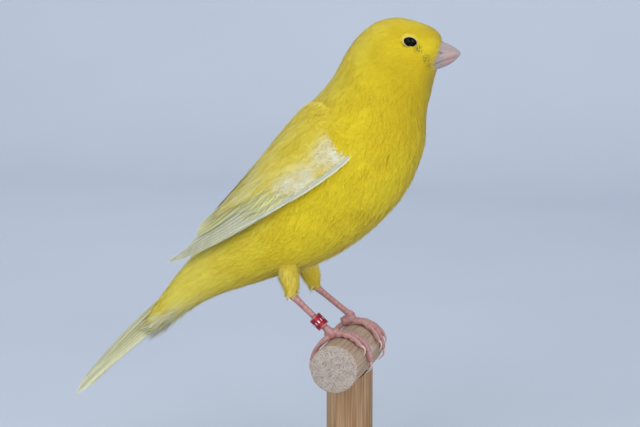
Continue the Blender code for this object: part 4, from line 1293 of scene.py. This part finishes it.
def vane_paint(start):
    """Flight feathers: pale yellow to white outer vanes, inner vanes greyed as painted shade under the
    overlapping feather, dark lines along the vane edges as painted shadow of the gaps between feathers,
    and a dark shaft.
    """
    tone = start.mark("tone")
    along = start.mark("along")
    pale = start.mark("pale")
    outer = start.mark("outer")
    fine = start.noise(0.35).fade(0.3, 0.7)
    yellow = (0.74, 0.68, 0.10, 1.0)
    cream = (0.74, 0.73, 0.26, 1.0)
    white = (0.73, 0.745, 0.58, 1.0)
    colour = (tone * 0.3 + along * 0.5 + fine * 0.2).blend(yellow, cream)
    colour = (pale * (0.8 + fine * 0.2)).blend(colour, white)
    # Inner vane greyed in the pale feathers: painted shade where the next feather overlaps it.
    inner = 1.0 - outer.fade(-0.2, 0.25)
    colour = (inner * pale * 0.4).blend(colour, (0.30, 0.31, 0.27, 1.0))
    colour = (outer.fade(0.45, 0.65) * 0.3).blend(colour, (0.78, 0.78, 0.66, 1.0))
    # Dark lines along both vane edges in the pale feathers: painted shadow of the gaps between overlapping
    # feathers.
    painted_gap_shadow = (outer * outer).fade(0.58, 0.78) * pale.fade(0.05, 0.5)
    colour = (painted_gap_shadow * 0.75).blend(colour, (0.21, 0.19, 0.11, 1.0))
    shaft = start.mark("shaft")
    colour = (shaft * 0.6).blend(colour, (0.30, 0.30, 0.25, 1.0))
    constants = {"Sheen Weight": 0.1, "Specular IOR Level": 0.3}
    return colour, fine * 0.1 + 0.5, fine, 0.006, constants


vane_finish = new_finish("flight_vanes", vane_paint)
vane_shape = feather_shape(pick, 46, VANE_OUTLINE, 0.16, 0.012, 0.03, 0.05)
covert_shapes = [feather_shape(pick, 16, COVERT_OUTLINE, 0.26, 0.06, 0.08, 0.05) for _ in range(3)]


def vane_group(name, shape, paths, half, pale, patches, camber, outer_hand):
    """Flight feathers or coverts as one piece."""
    number = len(paths[0])
    zero = np.zeros(number)
    corners, shading = raise_feathers(shape, paths[0], paths[1], half + zero, zero, zero, camber + zero)
    tone = pick.uniform(0.0, 1.0, number)
    pieces = coat_pieces(
        name, shape, corners, shading, patches, tone, pale + zero, vane_finish,
    )
    along, across, _, _ = shape
    for piece in pieces:
        count = len(piece.data.vertices) // len(along)
        keep_mark(piece.data, "shaft", np.tile(np.exp(-(across / 0.1) ** 2), count))
        keep_mark(piece.data, "outer", np.tile(across * outer_hand, count))
    return pieces


def spread(count, first, last):
    """Evenly spread values from the first feather of a row to its last."""
    return np.linspace(first, last, count)


def wing(side):
    """All feathers of one folded wing."""
    name = "wing_" + SIDE_NAMES[side]

    def arm_spot(place, angle):
        return mirrored(wing_arm_spot(place, angle, ARM_DEPTH), side)

    arm = surface_piece(
        name + "_arm", arm_spot, np.linspace(0.05, 3.2, 48), np.radians(np.linspace(2.0, 88.0, 40)),
        wing_unwrap, wing_pale,
    )

    def tier(label, shape, starts, ends, lifts, roll, half, pale, camber):
        """One row of vanes from the ends of their shafts, as places and degrees on the wing."""
        paths = straight_paths(starts, ends, lifts, side, roll)
        patches = wing_unwrap(starts[:, 0], np.radians(starts[:, 1]))
        return vane_group(name + label, shape, paths, half, pale, patches, camber, -side)

    index = np.arange(8.0)
    tips = np.array([5.2, 5.6, 6.0, 6.35, 6.65, 6.85, 6.95, 7.0])
    lifts = np.stack([-0.8 - 0.09 * index, -0.4 - 0.09 * index], 1)
    starts = np.stack([1.7 - 0.08 * index, spread(8, 60.0, 85.0)], 1)
    ends = np.stack([tips, spread(8, 38.0, 84.0)], 1)
    pieces = tier("_primaries", vane_shape, starts, ends, lifts, 9.0, 1.35, 0.9, 0.02)
    index = np.arange(5.0)
    starts = np.stack([2.0 + index * 0.0, spread(5, 28.0, 56.0)], 1)
    ends = np.stack([4.95 + 0.05 * index, spread(5, 22.0, 48.0)], 1)
    lifts = np.stack([-0.4 - 0.07 * index, 0.2 - 0.07 * index], 1)
    pieces += tier("_secondaries", vane_shape, starts, ends, lifts, 9.0, 1.8, 0.22, 0.03)
    index = np.arange(3.0)
    starts = np.stack([1.7 + index * 0.0, 4.0 + 8.0 * index], 1)
    ends = np.stack([np.array([4.1, 4.6, 5.05]), np.array([7.0, 11.0, 17.0])], 1)
    lifts = np.stack([-0.5 + index * 0.0, 0.45 - 0.12 * index], 1)
    pieces += tier("_tertials", vane_shape, starts, ends, lifts, 7.0, 2.6, 0.22, 0.03)
    turns = spread(10, 9.0, 80.0)
    starts = np.stack([1.35 + turns * 0.0, turns + 2.0], 1)
    ends = np.stack([3.2 + 0.12 * np.sin(np.arange(10.0)), turns], 1)
    lifts = np.stack([-0.5 + turns * 0.0, 0.15 - turns * 0.002], 1)
    white = wing_pale(starts[:, 0] + 0.6, np.radians(turns)) * 0.25
    pieces += tier("_greater_coverts", covert_shapes[0], starts, ends, lifts, 9.0, 1.9, white, 0.04)
    index = np.arange(3.0)
    starts = np.stack([0.1 + 0.5 * index, 88.0 - index], 1)
    ends = np.stack([2.4 + 0.7 * index, 88.0 - 1.5 * index], 1)
    lifts = np.stack([0.2 - 0.15 * index, 0.35 - 0.2 * index], 1)
    pieces += tier("_alula", vane_shape, starts, ends, lifts, 8.0, 0.75, 1.0, 0.05)

    def small_spacing(place):
        return np.interp(place, (0.0, 1.0, 3.6), (0.7, 0.9, 1.3))

    place, angle = scatter(
        wing_arm_spot, (0.0, 3.3), (0.0, math.radians(86.0)), small_spacing, pick, 30000
    )
    soft = np.degrees(angle) < np.interp(place, (0.0, 1.6, 2.2, 3.3), (95.0, 95.0, 62.0, 40.0))
    soft &= place > 0.7 - np.degrees(angle) / 60.0
    place = place[soft]
    angle = angle[soft]
    number = len(place)
    length = np.interp(place, (0.0, 1.0, 2.5), (3.2, 4.6, 7.5)) * pick.uniform(0.85, 1.15, number)
    points, normals = walk(wing_arm_spot, place, angle, length, pick.normal(0.0, 0.08, number))
    half = small_spacing(place) * pick.uniform(1.05, 1.3, number)
    tone = pick.uniform(0.0, 1.0, number)
    white = wing_pale(place + 0.2, angle)
    for kind in range(VARIANTS):
        chosen = np.arange(number) % VARIANTS == kind
        corners, shading = raise_feathers(
            soft_shapes[kind], mirrored(points[chosen], side), mirrored(normals[chosen], side), half[chosen],
            half[chosen] * 0.0 + 0.4, pick.uniform(0.7, 0.95, chosen.sum()), 0.05 / half[chosen],
        )
        pieces += coat_pieces(
            name + "_coverts_" + "abcd"[kind], soft_shapes[kind], corners, shading,
            wing_unwrap(place[chosen], angle[chosen]), tone[chosen], white[chosen], plumage,
        )
    for piece in pieces + [arm]:
        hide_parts(name)


for side in (RIGHT, LEFT):
    wing(side)

# Tail: twelve narrow feathers closed into a thin fan, the middle pair on top, with soft
# coverts over its root above and below.
TAIL_TOP = [(-51.0, 52.6), (-58.3, 44.3), (-64.4, 38.4), (-70.5, 31.9), (-76.8, 24.2), (-80.0, 19.8)]
TAIL_LOW = [(-49.0, 49.0), (-58.8, 39.0), (-64.3, 34.2), (-70.4, 29.0), (-76.8, 22.9), (-79.6, 19.6)]
TAIL_PAIRS = 6


def tail_paths(side, orders, starts, ends, spreads, roll):
    """Paths of tail feathers: order is 0 on top of the closed fan and 1 at its underside."""
    part = np.linspace(0.0, 1.0, STEPS + 1)[None, :]
    place = starts[:, None] + (ends - starts)[:, None] * part
    top = trace(TAIL_TOP, place)
    low = trace(TAIL_LOW, place)
    order = orders[:, :1] + (orders[:, 1:] - orders[:, :1]) * part
    here = top + (low - top) * order[..., None]
    out = spreads[:, :1] + (spreads[:, 1:] - spreads[:, :1]) * part
    points = np.stack([here[..., 0], side * out, here[..., 1]], -1)
    ahead = unit(np.gradient(points, axis=1))
    outer = np.array([0.0, side, 0.0]) - ahead * (ahead[..., 1:2] * side)
    outer = unit(outer)
    up = np.cross(ahead, outer)
    up = np.where(up[..., 2:] < 0.0, -up, up)
    turn = np.radians(roll)[:, None, None]
    return points, unit(up * np.cos(turn) + outer * np.sin(turn))


def tail_patches(side, number, row):
    """Map places of tail feathers, spread out in a row of their own."""
    across = 0.5 + side * 0.4 * (np.arange(number) + 1.0) / (number + 1.0)
    return np.stack([across, np.full(number, row)], -1)


tail_pieces = []
for side in (RIGHT, LEFT):
    layer = np.arange(TAIL_PAIRS) / (TAIL_PAIRS - 1.0)
    index = np.arange(float(TAIL_PAIRS))
    shift = 0.03 if side > 0.0 else 0.0
    orders = np.stack([layer + shift, layer + shift], 1)
    spreads = np.stack([0.7 + 0.22 * index, 1.1 + 0.42 * index], 1)
    paths = tail_paths(side, orders, layer * 0.0 + 0.35, 4.84 + 0.14 * layer, spreads, 34.0 + 6.0 * index)
    tail_pieces += vane_group(
        "tail_" + SIDE_NAMES[side] + "_feathers", vane_shape, paths, 1.75, 0.6,
        tail_patches(side, TAIL_PAIRS, 0.5), 0.02, -side,
    )
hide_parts("tail")

# Setting: a pale sweep of backdrop paper behind and under the stand, lit by large soft
# lamps from the front and the left.
CAMERA_TARGET = (-8.486, 0.0, 74.029)
CAMERA_DISTANCE = 500.0
CAMERA_YAW = 14.0
CAMERA_PITCH = 9.0
MM_PER_PIXEL = 0.275
IMAGE_WIDTH = 640.0
SENSOR_WIDTH = 36.0

scene = bpy.context.scene
yaw = math.radians(CAMERA_YAW)
pitch = math.radians(CAMERA_PITCH)
looking = np.array([-math.sin(yaw) * math.cos(pitch), math.cos(yaw) * math.cos(pitch), -math.sin(pitch)])
camera_data = bpy.data.cameras.new("camera")
camera_data.sensor_width = SENSOR_WIDTH
camera_data.lens = SENSOR_WIDTH * CAMERA_DISTANCE / (MM_PER_PIXEL * IMAGE_WIDTH)
camera_data.clip_start = 0.01
camera_data.clip_end = 20.0
camera = bpy.data.objects.new("camera", camera_data)
camera.location = (np.array(CAMERA_TARGET) - looking * CAMERA_DISTANCE) * MM
camera.rotation_euler = (math.pi / 2.0 - pitch, 0.0, yaw)
scene.collection.objects.link(camera)
scene.camera = camera


def paper_paint(start):
    """Matt pale blue-grey paper."""
    cloud = start.noise(120.0).fade(0.2, 0.8)
    colour = cloud.blend((0.51, 0.56, 0.64, 1.0), (0.53, 0.58, 0.66, 1.0))
    return colour, cloud * 0.05 + 0.9, cloud, 0.01, {"Specular IOR Level": 0.1}


paper = new_finish("paper", paper_paint)
sweep = [(-1.2, 0.0)]
for bend in np.linspace(0.0, math.pi / 2.0, 16):
    sweep.append((0.55 + 0.25 * math.sin(bend), 0.25 - 0.25 * math.cos(bend)))
sweep.append((0.8, 1.6))
sweep_points = [(x * 1000.0, y * 1000.0, z * 1000.0) for y, z in sweep for x in (-2.0, 2.0)]
sweep_faces = [(2 * row, 2 * row + 1, 2 * row + 3, 2 * row + 2) for row in range(len(sweep) - 1)]
backdrop_mesh = bpy.data.meshes.new("backdrop")
backdrop_mesh.from_pydata(np.array(sweep_points) * MM, [], sweep_faces)
backdrop_mesh.shade_smooth()
backdrop_mesh.materials.append(paper)
backdrop = bpy.data.objects.new("backdrop", backdrop_mesh)
scene.collection.objects.link(backdrop)

# Each lamp has its name, its place and width in metres and its power in watts.
LAMPS = (
    ("key", (-0.45, -1.0, 0.6), 0.9, 6.9),
    ("fill", (0.9, -0.7, 0.15), 0.9, 10.0),
    ("top", (0.0, 0.1, 1.1), 0.9, 3.5),
    ("back", (-0.5, 0.45, 0.7), 0.5, 1.3),
    ("low", (0.1, -0.9, 0.04), 0.5, 1.8),
)
for name, place, size, power in LAMPS:
    lamp_data = bpy.data.lights.new(name, "AREA")
    lamp_data.size = size
    lamp_data.energy = power
    lamp = bpy.data.objects.new(name, lamp_data)
    lamp.location = place
    aim = np.array(CAMERA_TARGET) * MM - np.array(place)
    tilt = math.acos(-aim[2] / np.linalg.norm(aim))
    lamp.rotation_euler = (tilt, 0.0, math.atan2(aim[1], aim[0]) - math.pi / 2.0)
    scene.collection.objects.link(lamp)

scene.world = bpy.data.worlds.new("room")
scene.world.use_nodes = True
background = scene.world.node_tree.nodes["Background"]
background.inputs["Color"].default_value = (0.75, 0.83, 0.95, 1.0)
background.inputs["Strength"].default_value = 0.42
scene.view_settings.view_transform = "Standard"
